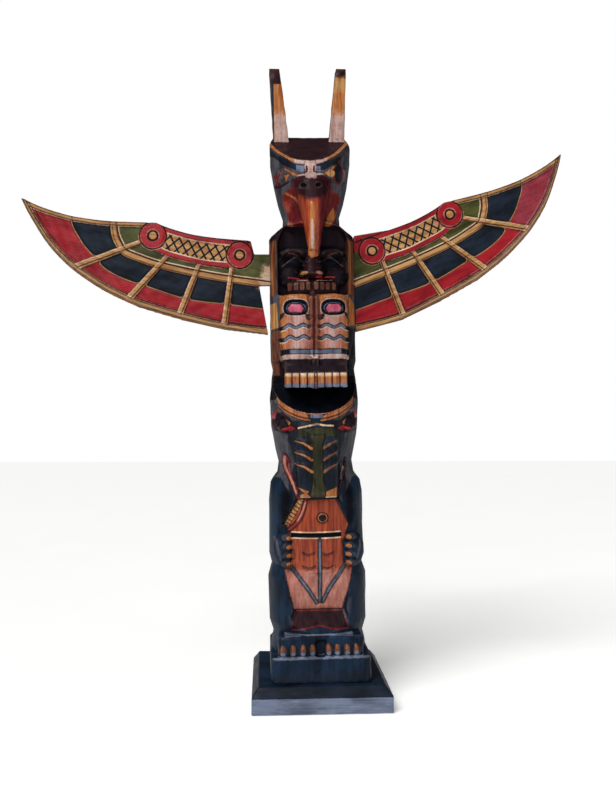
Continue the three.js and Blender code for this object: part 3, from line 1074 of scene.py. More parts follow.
@dataclass(frozen=True)
class Bird:
    """The horned bird's head: a banded crown, painted eyes, red cheeks and a long beak."""

    cut: float = 436.1  # height of the crown's slanted cut at the middle of the log
    slope: float = 0.7157  # how much the cut rises for each mm to the back
    neck: float = 359.0
    crown: float = 449.0  # height of the crown's back edge
    brow: Points = (  # the light line along the cut's front edge
        (-33, 440), (-27.4, 428.2), (-20.6, 420), (-14, 414.2), (-7, 412.2), (2.4, 412), (11, 415.6),
        (19, 422.8), (26, 432.6), (33.4, 445),
    )
    band: Points = ((-33, 426.8), (-22.1, 412.5), (-12.4, 406.6), (9.4, 406.4), (19.8, 413.9), (31, 428.6))
    eye: Point = (23.5, 405.3)
    nostril: float = 392.1

    def marks(self) -> list[Mark]:
        """Draws the head.

        Returns:
            Its marks, from the ground colours up.
        """
        return [
            *self.grounds(), *self.horns(), *self.cheeks(), *self.eyes(), *self.crown_bands(), *self.beak()
        ]

    def grounds(self) -> list[Mark]:
        """Draws the stain of the head and the dark of the neck."""
        head = ground(area(-BEYOND, self.neck - 1, BEYOND, self.crown + 60), SMOKE)
        return [head, bar(UMBER, -BEYOND, self.neck - 4, BEYOND, self.neck + 9, back=FAR, facing=-2, fade=8)]

    def horns(self) -> list[Mark]:
        """Draws the two horns.

        Returns:
            The marks of both.
        """
        marks = [ground(area(-BEYOND, self.crown + 0.6, BEYOND, self.crown + 60), MAROON)]
        left = Patch(((-28.8, 441), (-13, 441), (-15.4, 454), (-20.4, 489), (-28.3, 489)))
        right = Patch(((12, 441), (34, 441), (33, 470), (29.6, 494.4), (19, 494.4)))
        for shape in (left, right):
            marks.append(Mark(shape, AMBER, front=-5, back=30, facing=0.2, fade=2))
        # Pale pink at the horns' bases: painted sheen.
        for shape in (area(-29, 431, -13, 463), area(12, 431, 34, 464)):
            marks.append(Mark(shape, BLUSH, front=3, back=30, facing=0.2, fade=24))
        marks.append(bar(OCHRE, 19, 483, 34, 494, front=3, back=30, facing=0.2, fade=14))
        marks.append(bar(NAVY, -36, 441, -28.2, 489, front=3, back=14, facing=-0.8))
        for x, z, half in (
            (25.4, 478.5, 2.6), (28.6, 474.5, 2.0), (24.8, 470, 1.8), (-23, 476, 2.0), (-21.6, 468, 1.8)
        ):
            marks.append(oval(RUST, (x, z), (half, half * 0.7), turn=40, front=3, back=30, fade=9))
        return marks

    def crown_bands(self) -> list[Mark]:
        """Draws the dished top, the light line along its edge and the dark band under it.

        Returns:
            The marks.
        """
        low, high = self.cut - 44, self.cut - 18
        plate = Common((Below(self.cut, self.slope, 4.2, 8.8), area(-12.4, low, 6.3, high)))
        tongue = Common((Below(self.cut, self.slope, 1.0, 11.0), area(-5.9, low, 3.0, high)))
        brow = Stroke(self.brow, 2.8)
        return [
            Mark(Below(self.cut, self.slope, -3.5, 1.2), MAROON, back=17.0, facing=0.35, rising=(0.55, 2.0)),
            ground(area(-16.4, self.crown - 1.2, 16.4, self.crown + 0.5), MAROON),
            patch(NAVY, *map(tuple, brow.path()), *reversed(self.band), trench=0.3, back=17, facing=-1.2),
            Mark(brow, AMBER, back=19, facing=-1.2, trench=0.25),
            # Pale pink on the middle of the brow line: painted sheen.
            Mark(Common((brow, area(-14, low, 12, high))), BLUSH, back=0, facing=-1.2, fade=4),
            Mark(plate, STEEL, back=0, fade=1.4),
            # The H mark's pale pink is painted sheen.
            Mark(tongue, BLUSH, back=0, trench=0.35),
            stroke(CHERRY, 1.5, (-6.2, 403.6), (-4.3, 404.8), (-4.4, 408.6), raised=-0.4),
            stroke(CHERRY, 1.5, (3.4, 403.6), (1.2, 404.8), (1.4, 408.6), raised=-0.4),
            stroke(AMBER, 0.9, (-21, 409.4), (-14.8, 404.4), (-9.5, 401.8), (0.2, 400.6), tip=2.4, fade=2),
            stroke(AMBER, 0.9, (19, 411.6), (14, 407), (9.2, 403.1), (0.2, 400.6), tip=2.0, fade=2),
            # Pale pink line where the amber lines meet: painted highlight.
            stroke(BLUSH, 1.8, (-11, 401.9), (0.2, 400.7), (8, 402.4)),
        ]

    def eyes(self) -> list[Mark]:
        """Draws the two eyes, which differ.

        Returns:
            The marks.
        """
        across, up = self.eye
        socket = Oval((across - 3.1, up + 0.7), (3.6, 7.8))
        return [
            Mark(socket, MAROON, trench=CUT),
            Mark(Rim(socket, 1.1), CHERRY, raised=0.3),
            oval(NAVY, (across - 3.1, up + 0.7), (2.2, 6.0)),
            oval(OCHRE, (14.5, 404.6), (3.4, 2.7), turn=20, fade=1.5),
            stroke(CHERRY, 1.6, (-28.9, 407.6), (-25.1, 398.6), curved=False, raised=-0.3, fade=1.6),
            stroke(CHERRY, 1.6, (-23.1, 408.4), (-27.2, 400.5), curved=False, raised=-0.3, fade=1.6),
            stroke(MAROON, 1.3, (-28.8, 400.2), (-24.6, 397.4), (-18.4, 398.8)),
            patch(AMBER, (-22, 404.8), (-17.2, 404.8), (-20.2, 399.9), trench=0.3),
        ]

    def cheeks(self) -> list[Mark]:
        """Draws the red cheeks on both sides of the beak.

        Returns:
            The marks.
        """
        head = {"back": -15.0, "facing": -0.5}
        return [
            patch(
                CHERRY, (-27.4, 386), (-18.5, 393), (-7, 392), (-6, 352), (-12, 352), (-19, 364),
                (-25, 375), grow=0.8, fade=6, **head
            ),
            oval(RUST, (-19.5, 381), (2.0, 3.6), turn=20, fade=14, **head),
            # Pale streak on the left cheek: painted highlight.
            stroke(SALMON, 2.0, (-20, 370), (-13.6, 361), fade=8, **head),
            patch(
                CHERRY, (20.4, 390), (25.2, 384), (22, 376), (17, 366), (11.6, 356), (6, 356), (6, 392),
                grow=0.8, fade=8, **head
            ),
            patch(
                AMBER, (9.5, 361), (12, 361.5), (18.8, 374.5), (16.4, 379), (12.4, 373), grow=0.3, fade=3,
                **head
            ),
            stroke(AMBER, 1.0, (-20.5, 391.2), (-12, 384), (-8.2, 374), fade=3),
        ]

    def beak(self) -> list[Mark]:
        """Draws the beak with its nostrils and its ridge; the ridge carries a painted highlight and the right
        side painted shade.
        """
        deep = {"back": -26.0, "facing": -0.6}
        nostrils = [
            oval(BLACK, (x, self.nostril), (2.8, 2.1), turn=25 * side, raised=-1.7, soft=1.3)
            for x, side in ((-7.7, -1), (3.9, 1))
        ]
        return [
            patch(
                RUST, (-12.4, 392), (11.4, 392), (8.6, 374), (6.6, 358), (3.4, 336), (-8.2, 336),
                (-9.2, 358), (-9.8, 374), **deep
            ),
            bar(CHERRY, -14, 376, 13, 396, fade=20, **deep),
            # Darker red over the beak's right side: painted shade.
            patch(CHERRY, (2.6, 390), (14, 392), (10, 336), (2, 336), fade=5, **deep),
            patch(
                MAROON, (-18, 401), (17, 400.4), (14, 385), (6, 378), (-7, 378), (-15, 385), fade=10, **deep
            ),
            stroke(AMBER, 3.4, (-1, 377), (-1.3, 358), (-2.6, 336), tip=5.6, raised=0.35, fade=3, **deep),
            # Pale stroke down the ridge: painted highlight.
            stroke(BLUSH, 1.6, (-1.2, 364), (-1.6, 345), tip=2.6, fade=4, **deep),
            stroke(None, 0.9, (2.4, 380), (2.6, 356), (1.6, 338), trench=0.3, **deep),
            *nostrils,
        ]

    def parts(self) -> list[bpy.types.Object]:
        """Makes the swellings over the nostrils, and squares the crown's corners beside the horns."""
        made = [egg((x, -37.0, self.nostril - 1.0), (3.5, 2.0, 3.4)) for x in (-7.7, 3.9)]
        for side, rear in ((-1, 9.0), (1, 16.5)):
            deep = rear - 9.0
            rail = peg((side * 25.6, deep, self.cut + self.slope * deep - 6.4), (9.6, 22.0, 10.4), 1.6)
            tilt(rail, math.atan(self.slope))
            made.append(rail)
        return made


@dataclass(frozen=True)
class HiddenFace:
    """The face in the dark hollow behind the beak: brows, half closed eyes, broad nose, lips and teeth."""

    low: float = 310.0
    high: float = 360.0
    eye: Point = (13.9, 336.8)
    mouth: float = 323.6
    tooth: Point = (3.6, 6.6)

    def marks(self) -> list[Mark]:
        """Draws the hollow, its frame and the face.

        Returns:
            The marks.
        """
        across, up = self.eye
        face = [
            oval(UMBER, (18.5, 326), (10, 7.4), raised=-1.4, soft=4.5),
            oval(None, (13.6, 341), (13, 9), raised=-1.0, soft=4.0),
            stroke(
                UMBER, 5.4, (4, 338.6), (8, 344.6), (13.3, 347.6), (20, 346.9), (26, 340.6), tip=3.0,
                raised=0.6, soft=1.6,
            ),
            stroke(BRONZE, 0.9, (5.2, 338.8), (12.5, 343.2), (19.4, 345.1), raised=-0.3, fade=1.3),
            oval(BLACK, (across, up), (6.6, 3.2), raised=-0.3, trench=0.3),
            # Light line over each eye: painted highlight on the raised lid.
            stroke(
                SMOKE, 1.5, (4, 336.6), (8.6, 340), (13.6, 341.6), (18.6, 339.6), (24, 335.4), raised=0.5,
                soft=0.8, fade=1.6,
            ),
            stroke(UMBER, 1.0, (5.6, 334.6), (12.4, 332.6), (18.4, 332.8), (23.4, 334.2), raised=0.4),
        ]
        lip = {"raised": 0.9, "soft": 0.8}
        return [
            ground(area(-BEYOND, self.low, BEYOND, self.high), SMOKE),
            bar(UMBER, -28.4, self.low, 26.6, self.high + 8, front=-34, facing=-0.8),
            bar(UMBER, -26, self.low, 25, 349, front=-30, back=-13, facing=0.2, fade=3),
            patch(BRONZE, (-36, self.low), (-29, self.low), (-28.6, 357), (-36, 357), facing=-0.1),
            patch(BRONZE, (26.8, self.low), (36, self.low), (36, 357), (26.4, 357), facing=-0.1),
            stroke(AMBER, 1.6, (-31.6, 312), (-31.8, 340), (-30.6, 356), fade=1.8),
            stroke(AMBER, 1.6, (29, 312), (29.4, 340), (28.6, 356), fade=2.4),
            *mirrored(face),
            patch(
                MAROON, (-3.7, 342), (2.2, 342), (7.4, 331.5), (8, 326), (-11, 326), (-10.4, 331.5),
                grow=0.4, trench=0.6,
            ),
            oval(OCHRE, (-7.2, 328.4), (3.0, 1.2), turn=8, fade=1.4),
            oval(SALMON, (4.8, 328.6), (2.7, 1.3), turn=-8, fade=1.4),
            stroke(None, 0.9, (-11.4, 328), (-9.4, 330.6), (-6, 331), trench=0.6),
            stroke(None, 0.9, (8.6, 328), (6.6, 330.8), (3.4, 331), trench=0.6),
            stroke(CRIMSON, 1.5, (-19.4, 325.4), (-11, 324.7), (-4.3, 324.5), tip=2.4, fade=1.4, **lip),
            stroke(CRIMSON, 1.4, (16.8, 325.6), (10, 326.2), (2.5, 324.9), tip=2.4, fade=1.4, **lip),
            # Pale lines under the lips: painted highlights.
            stroke(BLUSH, 0.9, (-16.5, 323.2), (-4, 323), fade=1.5),
            stroke(BLUSH, 0.9, (2.4, 323.1), (14.8, 323.5), fade=1.2),
            *self.teeth_marks(),
            stroke(MAROON, 3.0, (-1.2, 330), (-1.4, 322), (-1, 313)),
        ]

    def teeth_at(self) -> list[float]:
        """Spaces the teeth on both sides of the middle."""
        left = [-3.9 - i * self.tooth[0] * 1.34 for i in range(4)]
        return [*left, *(2.2 + i * self.tooth[0] * 1.28 for i in range(4))]

    def teeth_marks(self) -> list[Mark]:
        """Draws the teeth.

        Returns:
            One mark a tooth.
        """
        width, height = self.tooth
        return [
            oval(BRONZE, (x, self.mouth - 5), (width / 2, height / 2), power=4, fade=1.4)
            for x in self.teeth_at()
        ]

    def parts(self) -> list[bpy.types.Object]:
        """Makes the rounded forms of the face.

        Returns:
            Eyes, brows, cheeks, nose wings and teeth.
        """
        made = []
        width, height = self.tooth
        for side in (-1, 1):
            made.append(egg((side * 13.6, -12.4, 345.6), (13.0, 6.6, 4.4)))
            made.append(egg((side * 13.8, -13.0, 337.2), (7.8, 5.6, 4.4)))
            made.append(egg((side * 18.0, -12.0, 326.4), (9.3, 5.4, 7.8)))
        made.append(egg((-7.0, -18.4, 329.0), (3.9, 4.4, 2.6)))
        made.append(egg((4.8, -18.4, 329.0), (3.9, 4.4, 2.6)))
        for x in self.teeth_at():
            made.append(peg((x, -18.4 + 0.03 * x * x, self.mouth - 5), (width, 6.4, height), 0.8))
        return made


@dataclass(frozen=True)
class Legs:
    """The bird's legs and feet: an ovoid on each thigh, two scalloped lines, cuffs and toes."""

    middle: float = -0.4
    centre: float = 14.4
    high: float = 312.0
    cuff: float = 264.4
    instep: float = 260.5
    foot: float = 249.5
    toe_low: float = 238.5
    toe_pitch: float = 5.72
    toes: int = 4

    def marks(self) -> list[Mark]:
        """Draws both legs.

        Returns:
            The marks.
        """
        low = self.toe_low - 2
        marks = [
            ground(area(-BEYOND, low, BEYOND, self.high), SMOKE),
            bar(AMBER, -26.8, self.foot, 27, self.high, facing=0.1),
            # Pale pink down the front of each thigh: painted sheen.
            *(bar(SALMON, x - 8, self.cuff, x + 8, 298, fade=18) for x in (-13.0, 12.8)),
            *(bar(BLUSH, x - 3, self.cuff, x + 3, 294, fade=20) for x in (-13.0, 12.8)),
            bar(BLACK, -BEYOND, self.toe_low - 8, BEYOND, self.foot, front=-18, back=30, facing=-2),
            patch(BRONZE, (-33.6, 284), (-27.4, 284), (-25.8, 262), (-26.4, 250), (-33, 250)),
            patch(OCHRE, (-33.4, 286), (-27.6, 286), (-29, 306), (-34, 306), fade=1.6),
            patch(AMBER, (27.6, 287), (33, 289), (32.6, 305), (27.8, 310), fade=1.6),
            patch(NAVY, (27, 285), (36, 288), (36, 250), (26, 250)),
            stroke(None, 0.9, (-27.3, 308), (-27.2, 282), (-25.6, 262), trench=0.9),
            stroke(None, 0.9, (27.4, 308), (27.2, 282), (26, 262), trench=0.9),
        ]
        marks += mirrored(self.thigh())
        # Darker brown between the legs: painted shade.
        marks.append(stroke(BRONZE, 9.0, (self.middle, 310), (self.middle - 0.4, 262), fade=10))
        marks.append(stroke(
            CHERRY, 3.0, (self.middle, 309), (self.middle - 0.6, 262), raised=-0.9, soft=1.2, fade=1.5
        ))
        return marks + self.feet()

    def thigh(self) -> list[Mark]:
        """Draws what both legs have.

        Returns:
            The marks of the right one.
        """
        upper = (
            (26.6, 285.2), (23.2, 285), (19.8, 286.8), (14.6, 284.6), (9, 287), (5.2, 285.6), (2.2, 286.2)
        )
        lower = (
            (26.6, 276.4), (23, 275.6), (19.2, 278), (14.2, 275.8), (8.8, 278.2), (5, 276.6), (2.2, 277.2)
        )
        marks = [
            oval(BLUSH, (self.centre, 300), (10.3, 7.0), power=2.8, raised=0.5, soft=0.9, facing=0.1),
            oval(BLACK, (self.centre, 300), (9.5, 6.2), power=2.8, raised=-0.9, soft=0.5, trench=0.3),
            oval(STEEL, (self.centre, 299.6), (7.5, 4.1), power=2.4),
            oval(BLACK, (self.centre, 299.4), (7.0, 3.7), power=2.4),
            patch(
                ROSE, (8.3, 299.2), (10.6, 302.2), (18.6, 302.2), (20.9, 299.4), (19, 296.4), (10.2, 296.2),
                grow=0.2, raised=0.7, trench=0.4,
            ),
            patch(
                NAVY, (7.6, 295.6), (6.2, 291.4), (4.0, 291.0), (1.4, 294.0), (4.6, 294.2), grow=0.2,
                trench=0.4,
            ),
            patch(NAVY, (22.6, 296.6), (24.6, 293.2), (26.2, 292.6), (26.0, 296.2), grow=0.2, trench=0.4),
        ]
        for line in (upper, lower):
            shade = tuple((x, z - 2.2) for x, z in line)
            marks += [
                stroke(CREAM, 0.9, *shade, raised=0.3, fade=1.4),
                stroke(NAVY, 3.0, *line, raised=-0.5, trench=0.15, fade=1.3),
                stroke(STEEL, 1.9, *((x, z - 0.3) for x, z in line[1:-1]), fade=1.6),
            ]
        return marks

    def feet(self) -> list[Mark]:
        """Draws the cuffs, the insteps and the toes.

        Returns:
            The marks.
        """
        half = 1.4 + self.toe_pitch * self.toes
        ends = (self.middle - half, self.toe_low - 3, self.middle + half)
        marks = [
            bar(NAVY, -26, self.cuff, 26.4, self.cuff + 4, raised=-0.3, trench=0.4),
            bar(STEEL, -19.5, self.cuff + 0.5, 19.7, self.cuff + 3.4, fade=1.2),
            # Pale pink band over the instep: painted sheen.
            bar(BLUSH, -26.4, self.instep, 26.8, self.cuff - 0.2, facing=-0.1),
            bar(UMBER, -26.6, self.foot, 27, self.instep, facing=-0.2, trench=0.4),
            bar(AMBER, *ends, self.foot, facing=-0.3, back=-24),
            bar(STEEL, *ends, self.toe_low + 3.4, facing=-0.9, fade=5, back=-24),
            # Cream along the toes' tops: painted highlight.
            bar(CREAM, ends[0], self.foot - 2.4, ends[2], self.foot + 0.6, facing=0.1, fade=5, back=-24),
        ]
        for side in (-1, 1):
            for i in range(self.toes + 1):
                x = self.middle + side * (0.9 + self.toe_pitch * i)
                marks.append(stroke(
                    CHERRY, 1.1, (x, self.foot + 0.6), (x, self.toe_low - 2), raised=-0.8, soft=0.6,
                    back=-18, fade=1.2,
                ))
        return marks

    def parts(self) -> list[bpy.types.Object]:
        """Makes the rounded toes.

        Returns:
            One egg a toe.
        """
        made = []
        for side in (-1, 1):
            for i in range(self.toes):
                x = self.middle + side * (0.9 + self.toe_pitch * (i + 0.5))
                made.append(egg((x, -34.6, 244.4), (2.75, 5.9, 5.2)))
        made.append(peg((self.middle, -24.0, 286), (6.0, 14.0, 47.0), 1.0))
        made.append(peg((self.middle, -28.0, 250.5), (5.0, 20.0, 24.0), 0.8))
        return made


@dataclass(frozen=True)
class Bear:
    """The bear's head: a dished forehead, brow bands, slanted eyes, a ribbed snout and lips."""

    cut: float = 247.0  # height of the mouth's slanted rim at the middle of the log
    slope: float = 0.8
    snout_top: float = 211.0
    rib_gap: float = 8.7
    ribs: int = 3

    def marks(self) -> list[Mark]:
        """Draws the head.

        Returns:
            Its marks.
        """
        brow = Below(self.cut, self.slope, 0.8, 6.0)
        marks = [
            ground(area(-BEYOND, 103, BEYOND, self.cut - 9), SMOKE),
            bar(NAVY, -22, 150, 22, 214, back=-22, fade=3),
            Mark(Below(self.cut, self.slope, -8, 1.4), BLACK, back=14, facing=0.0, rising=(0.5, 2.0)),
            # Pale line along the mouth's rim: painted highlight.
            Mark(
                Below(self.cut, self.slope, -0.8, 1.2), SALMON, back=6, facing=-0.3, rising=(-2, 0.5),
                fade=1.6,
            ),
            Mark(Common((brow, area(-40, 190, -5, 250))), AMBER, back=8, trench=0.5),
            Mark(Common((brow, area(2.6, 190, 40, 250))), AMBER, back=8, trench=0.5),
            Mark(Below(self.cut, self.slope, 3.2, 4.6), BRONZE, back=8, raised=-0.3, fade=1.4),
            # Grey where the brow bands turn round the sides: painted highlight.
            Mark(Common((brow, area(-42, 190, -27.6, 250))), SMOKE, back=10, facing=-0.6, fade=4),
            Mark(Common((brow, area(27.6, 190, 42, 250))), SMOKE, back=10, facing=-0.6, fade=4),
        ]
        marks += mirrored(self.eye())
        return marks + self.snout() + self.lips()

    def eye(self) -> list[Mark]:
        """Draws the right eye.

        Returns:
            Its marks.
        """
        return [
            patch(
                MAROON, (26.2, 220.5), (20.6, 215.8), (15.2, 208.6), (22, 204.6), (32.4, 207.4),
                (34, 214.6), grow=0.4, raised=-0.5, soft=1.2, trench=0.5,
            ),
            patch(CRIMSON, (34.6, 218), (29.8, 222.2), (28.9, 219.2), (31.8, 215.4), grow=0.3, trench=0.3),
            patch(CRIMSON, (27, 207.2), (22, 210.6), (15.8, 207.8), (20, 205.8), grow=0.2, trench=0.3),
            patch(OCHRE, (25.2, 216.8), (20.2, 212.6), (21, 209.4), (23.6, 213.0), grow=0.1, fade=1.2),
            patch(
                UMBER, (29.6, 220.4), (24.2, 216.2), (21.3, 209.4), (27, 208.4), (31.2, 214.6), grow=0.3,
                raised=-0.5, soft=1.0, trench=0.5,
            ),
        ]

    def snout(self) -> list[Mark]:
        """Draws the snout's stem and the ribs on both sides of it.

        Returns:
            The marks.
        """
        top = self.snout_top
        marks = [
            patch(
                NAVY, (-7.6, top + 7.2), (7.2, top + 7.4), (1.4, top + 3), (1.8, top), (-4.6, top),
                (-3.6, top + 3), trench=0.35,
            ),
            # Light grey over the top of the middle mark: painted highlight.
            bar(STEEL, -5.4, top + 4.6, 5, top + 7, fade=1.3),
            stroke(
                CREAM, 1.3, (-14, top - 2.8), (-5, top - 0.9), (0.4, top), (5.6, top - 1), (12.4, top - 1.4)
            ),
            patch(
                MOSS, (-13.4, top - 3), (13.4, top - 3), (14.6, top - 10), (9, top - 8.8), (-9, top - 8.8),
                (-14.6, top - 10), fade=1.6,
            ),
            patch(
                MOSS, (-6.6, 203), (6.6, 203), (4, 195), (3.8, 170), (5.2, 156), (-6.4, 156), (-4.6, 170),
                (-4.8, 195), trench=0.6, fade=1.4,
            ),
        ]
        for i in range(self.ribs):
            z = 198.4 - self.rib_gap * i
            for side in (-1, 1):
                end = side * (14.6 if side > 0 else 16.8)
                line = ((end, z), (side * 10, z - 2.2), (side * 4.6, z - 5.8))
                tone = AMBER if side < 0 else BRONZE
                marks.append(stroke(tone, 1.1, *line, tip=2.6, raised=0.4, trench=0.35, fade=1.3))
        for side in (-1, 1):
            x = side * 10.6 - 0.5
            marks.append(patch(
                AMBER, (x - 4.6, 157), (x + 4.6, 157), (x + side * 4.2, 163.4), (x - side * 4.2, 160.6),
                grow=0.3, trench=0.4,
            ))
            marks.append(stroke(CREAM, 1.1, (x - 4.8, 156.2), (x + 4.8, 156.2), fade=1.2))
        return marks

    def lips(self) -> list[Mark]:
        """Draws the lips beside the snout, each with a painted highlight, the left one brighter.

        Returns:
            The marks.
        """
        return [
            patch(
                CHERRY, (-25.4, 189.6), (-26.8, 182.4), (-24, 174), (-19.4, 164.2), (-16.2, 154.8),
                (-14, 155.6), (-17, 167), (-20.2, 177.4), (-21.2, 185), grow=0.3, raised=0.9, soft=1.4,
                trench=0.4,
            ),
            # Pale streak on the left lip: painted highlight.
            stroke(SALMON, 2.0, (-24.4, 186), (-24.2, 179), (-20, 169.5), (-16.6, 159), tip=1.2, fade=1.8),
            stroke(
                MAROON, 2.4, (22.6, 184), (21.4, 176), (18.9, 169), (16.2, 161), (14.6, 156), tip=2.0,
                raised=0.6, soft=0.9, trench=0.4, fade=1.4,
            ),
            # Pale streak on the right lip: painted highlight.
            stroke(BLUSH, 1.0, (20.6, 178), (17.8, 169), fade=1.8),
        ]

    def parts(self) -> list[bpy.types.Object]:
        """Makes the eyeballs."""
        return [egg((side * 24.2, -22.4, 211.6), (6.4, 4.6, 5.2)) for side in (-1, 1)]


@dataclass(frozen=True)
class Fish:
    """The fish that the bear holds, with its tail down, and the fin between the bear's knees."""

    mouth: float = 154.5
    gill: float = 127.8
    tail: float = 70.8
    scale_pitch: float = 10.4

    def marks(self) -> list[Mark]:
        """Draws the fish.

        Returns:
            Its marks.
        """
        body = Patch(
            ((-14.6, self.mouth), (13.2, self.mouth), (23.2, 134.7), (20.6, self.gill), (18.0, 122), (
                18.6, 107
            ),
             (26, 101.4), (17.6, self.tail), (-19.7, self.tail), (-26.4, 101.2), (-21.5, 104), (-20.7, 123.4),
             (-24.2, 134.5)), 0,
        )
        marks = [
            Mark(body, RUST, trench=0.7, facing=0.15, back=-14),
            # Paler, pinker lower body: painted sheen.
            patch(
                SALMON, (-26.6, 101), (26.2, 101), (17.8, self.tail), (-19.9, self.tail), facing=0.15,
                back=-14, fade=14,
            ),
            Mark(Common((Outside(body), area(-BEYOND, 60, BEYOND, 103))), SLATE, facing=0.15, back=-14),
        ]
        return marks + self.head() + self.scales() + self.fin()

    def head(self) -> list[Mark]:
        """Draws the jaws with their teeth, the eye and the gill.

        Returns:
            The marks.
        """
        left, right = -21.2, 17.0
        return [
            stroke(BLACK, 2.2, (-15.6, 153.6), (-21, 145), (-26, 136), raised=-0.6),
            stroke(
                CHERRY, 3.4, (-9.4, 154.4), (-11.8, 145.2), (-15.2, 138.4), (-22.2, 131.3), raised=0.8,
                soft=1.3, trench=0.4,
            ),
            # Pale line on the lip: painted highlight.
            stroke(SALMON, 1.2, (-10, 152), (-12.6, 144.4), (-16, 138.4), fade=1.6),
            stroke(OCHRE, 3.6, (-13.2, 153.6), (-18.4, 145), (-23.4, 136.4), trench=0.4),
            *self.teeth(),
            oval(MAROON, (2.8, 140.6), (4.3, 3.9), raised=0.7, soft=1.2, trench=0.6),
            oval(BLACK, (2.9, 140.6), (2.3, 2.1), raised=0.3),
            Mark(Rim(Oval((2.8, 140.6), (3.4, 3.1)), 0.7), AMBER, fade=1.2),
            bar(BLACK, left, self.gill - 1.7, right, self.gill + 1.5, raised=-0.8, soft=0.6, back=-14),
            bar(CREAM, left, self.gill + 1.6, right, self.gill + 2.6, raised=0.2, back=-14),
            bar(CREAM, left, self.gill - 2.9, right, self.gill - 1.9, raised=0.2, back=-14),
        ]

    def teeth(self) -> list[Mark]:
        """Draws the row of teeth as dark nicks across the jaw.

        Returns:
            One mark a nick.
        """
        steps = np.linspace(0, 1, 8)
        nicks = []
        for share in steps:
            x, z = -13.2 - 10.2 * share, 153.6 - 17.2 * share
            line = ((x - 1.9, z + 1.1), (x + 1.9, z - 1.1))
            nicks.append(stroke(BRONZE, 0.8, *line, curved=False, raised=-0.5, soft=0.4))
        return nicks

    def scales(self) -> list[Mark]:
        """Draws the back line, the scales beside it and the V of the tail.

        Returns:
            The marks.
        """
        marks = [stroke(SMOKE, 3.0, (0.4, 124.4), (0.2, 100), (0.3, 76.6), trench=0.45)]
        marks.append(stroke(STEEL, 1.1, (0.4, 122), (0.3, 80), fade=1.3))
        for row in range(2):
            z = 115 - self.scale_pitch * row
            for x in (-8.2, 6.0):
                line = ((x - 4.6, z), (x, z - 1.7), (x + 4.6, z))
                marks.append(stroke(BRONZE, 1.3, *line, raised=-0.4, soft=0.5))
                under = tuple((a, b - 1.4) for a, b in line)
                marks.append(stroke(CHERRY, 0.7, *under, fade=1.2))
        for points in (
            ((-21.6, 104), (-16, 97), (-8.6, 86.3), (-2.0, 75.6)),
            ((19.4, 104.4), (11.8, 94), (6.8, 86), (2.5, 76.6)),
        ):
            marks.append(stroke(SMOKE, 3.6, *points, tip=2.8, trench=0.45))
            marks.append(stroke(STEEL, 1.1, *points[1:], fade=1.3))
        return marks

    def fin(self) -> list[Mark]:
        """Draws the fin between the bear's knees and the painted highlight line under it.

        Returns:
            The marks.
        """
        low = ((21.2, 57.2), (9.7, 57.4), (-1, 59.8), (-10.9, 58), (-21.6, 56.8))
        fin = Patch(((-18.2, 69.6), (17.8, 69.4), *low), 0.2)
        return [
            Mark(fin, MAROON, raised=-0.5, soft=0.9, trench=0.5),
            Mark(Rim(fin, 1.0), CHERRY, fade=1.3),
            # Light line along the ledge under the fin: painted highlight.
            stroke(STEEL, 1.2, (-26.4, 53.3), (0, 53.7), (24, 53.3), raised=0.2),
        ]


@dataclass(frozen=True)
class BearBody:
    """The bear's arms, hands and knees, its toes, and the block it sits on."""

    knuckles: tuple[float, ...] = (125.6, 118.9, 112.5, 106.2)
    toes: tuple[float, ...] = (-28.6, -21.0, -13.5, -6.4, 5.5, 11.9, 19.3, 26.2)
    toe: float = 43.5
    step: float = 38.0

    def marks(self) -> list[Mark]:
        """Draws the lower body.

        Returns:
            Its marks, which lie under those of the fish.
        """
        limbs = Patch(
            (
                (-BEYOND, 16), (BEYOND, 16), (BEYOND, 171), (27.6, 170),
                (16.4, 150), (-16.4, 150), (-27.6, 170), (-BEYOND, 171),
            )
        )
        marks = [
            ground(limbs, SLATE),
            bar(NAVY, -BEYOND, 22, BEYOND, self.step - 12, facing=0.3, fade=12),
            # Light line along the block's top edge: painted highlight.
            bar(STEEL, -39, self.step - 1.1, 39, self.step + 0.8, facing=0.2, fade=2),
        ]
        for z in self.knuckles:
            for side in (-1, 1):
                x = side * 23.4
                marks.append(oval(
                    AMBER, (x - side, z), (2.3, 1.6), turn=side * -12, power=2.6, trench=0.4, fade=1.3
                ))
        for x in self.toes:
            marks.append(oval(BRONZE, (x, self.toe + 0.4), (2.0, 3.5), power=2.4, trench=0.3, fade=1.4))
            # Small ochre spot on each toe's top: painted highlight.
            marks.append(oval(OCHRE, (x - 0.3, self.toe + 1.0), (0.9, 1.5), fade=4))
            marks.append(oval(STEEL, (x, self.toe - 2.6), (1.8, 1.5), fade=1.6))
        for side in (-1, 1):
            # Dark patch beside the fish's head, between it and the arms: painted shadow.
            marks.append(oval(BLACK, (side * 24.5, 148), (4, 16), fade=20))
            # Grey streak down each forearm: painted sheen.
            marks.append(stroke(SMOKE, 2.8, (side * 32.6, 124), (side * 28.6, 108.6), tip=1.4, fade=3))
        return marks

    def parts(self) -> list[bpy.types.Object]:
        """Makes the hands, fingers and toes.

        Returns:
            One egg each.
        """
        made = [egg((side * 27.6, -24.2, 116), (7.5, 8.8, 12.8)) for side in (-1, 1)]
        made += [egg((side * 24.2, -32.4, z), (4.9, 3.0, 3.0)) for side in (-1, 1) for z in self.knuckles]
        made += [egg((x, -37.6, self.toe - 0.9), (2.9, 3.8, 5.1)) for x in self.toes]
        return made


# ---- The pieces ----------------------------------------------------------------------------------
PLINTH_TOP = 19.0
LEAN = math.radians(0.97)  # the log leans a little to the left


def leaning() -> Matrix:
    """Turns the upright log to its lean.

    Returns:
        The turn about the middle of the plinth's top.
    """
    foot = Matrix.Translation((0, 0, PLINTH_TOP * MM))
    return foot @ Matrix.Rotation(-LEAN, 4, "Y") @ foot.inverted()


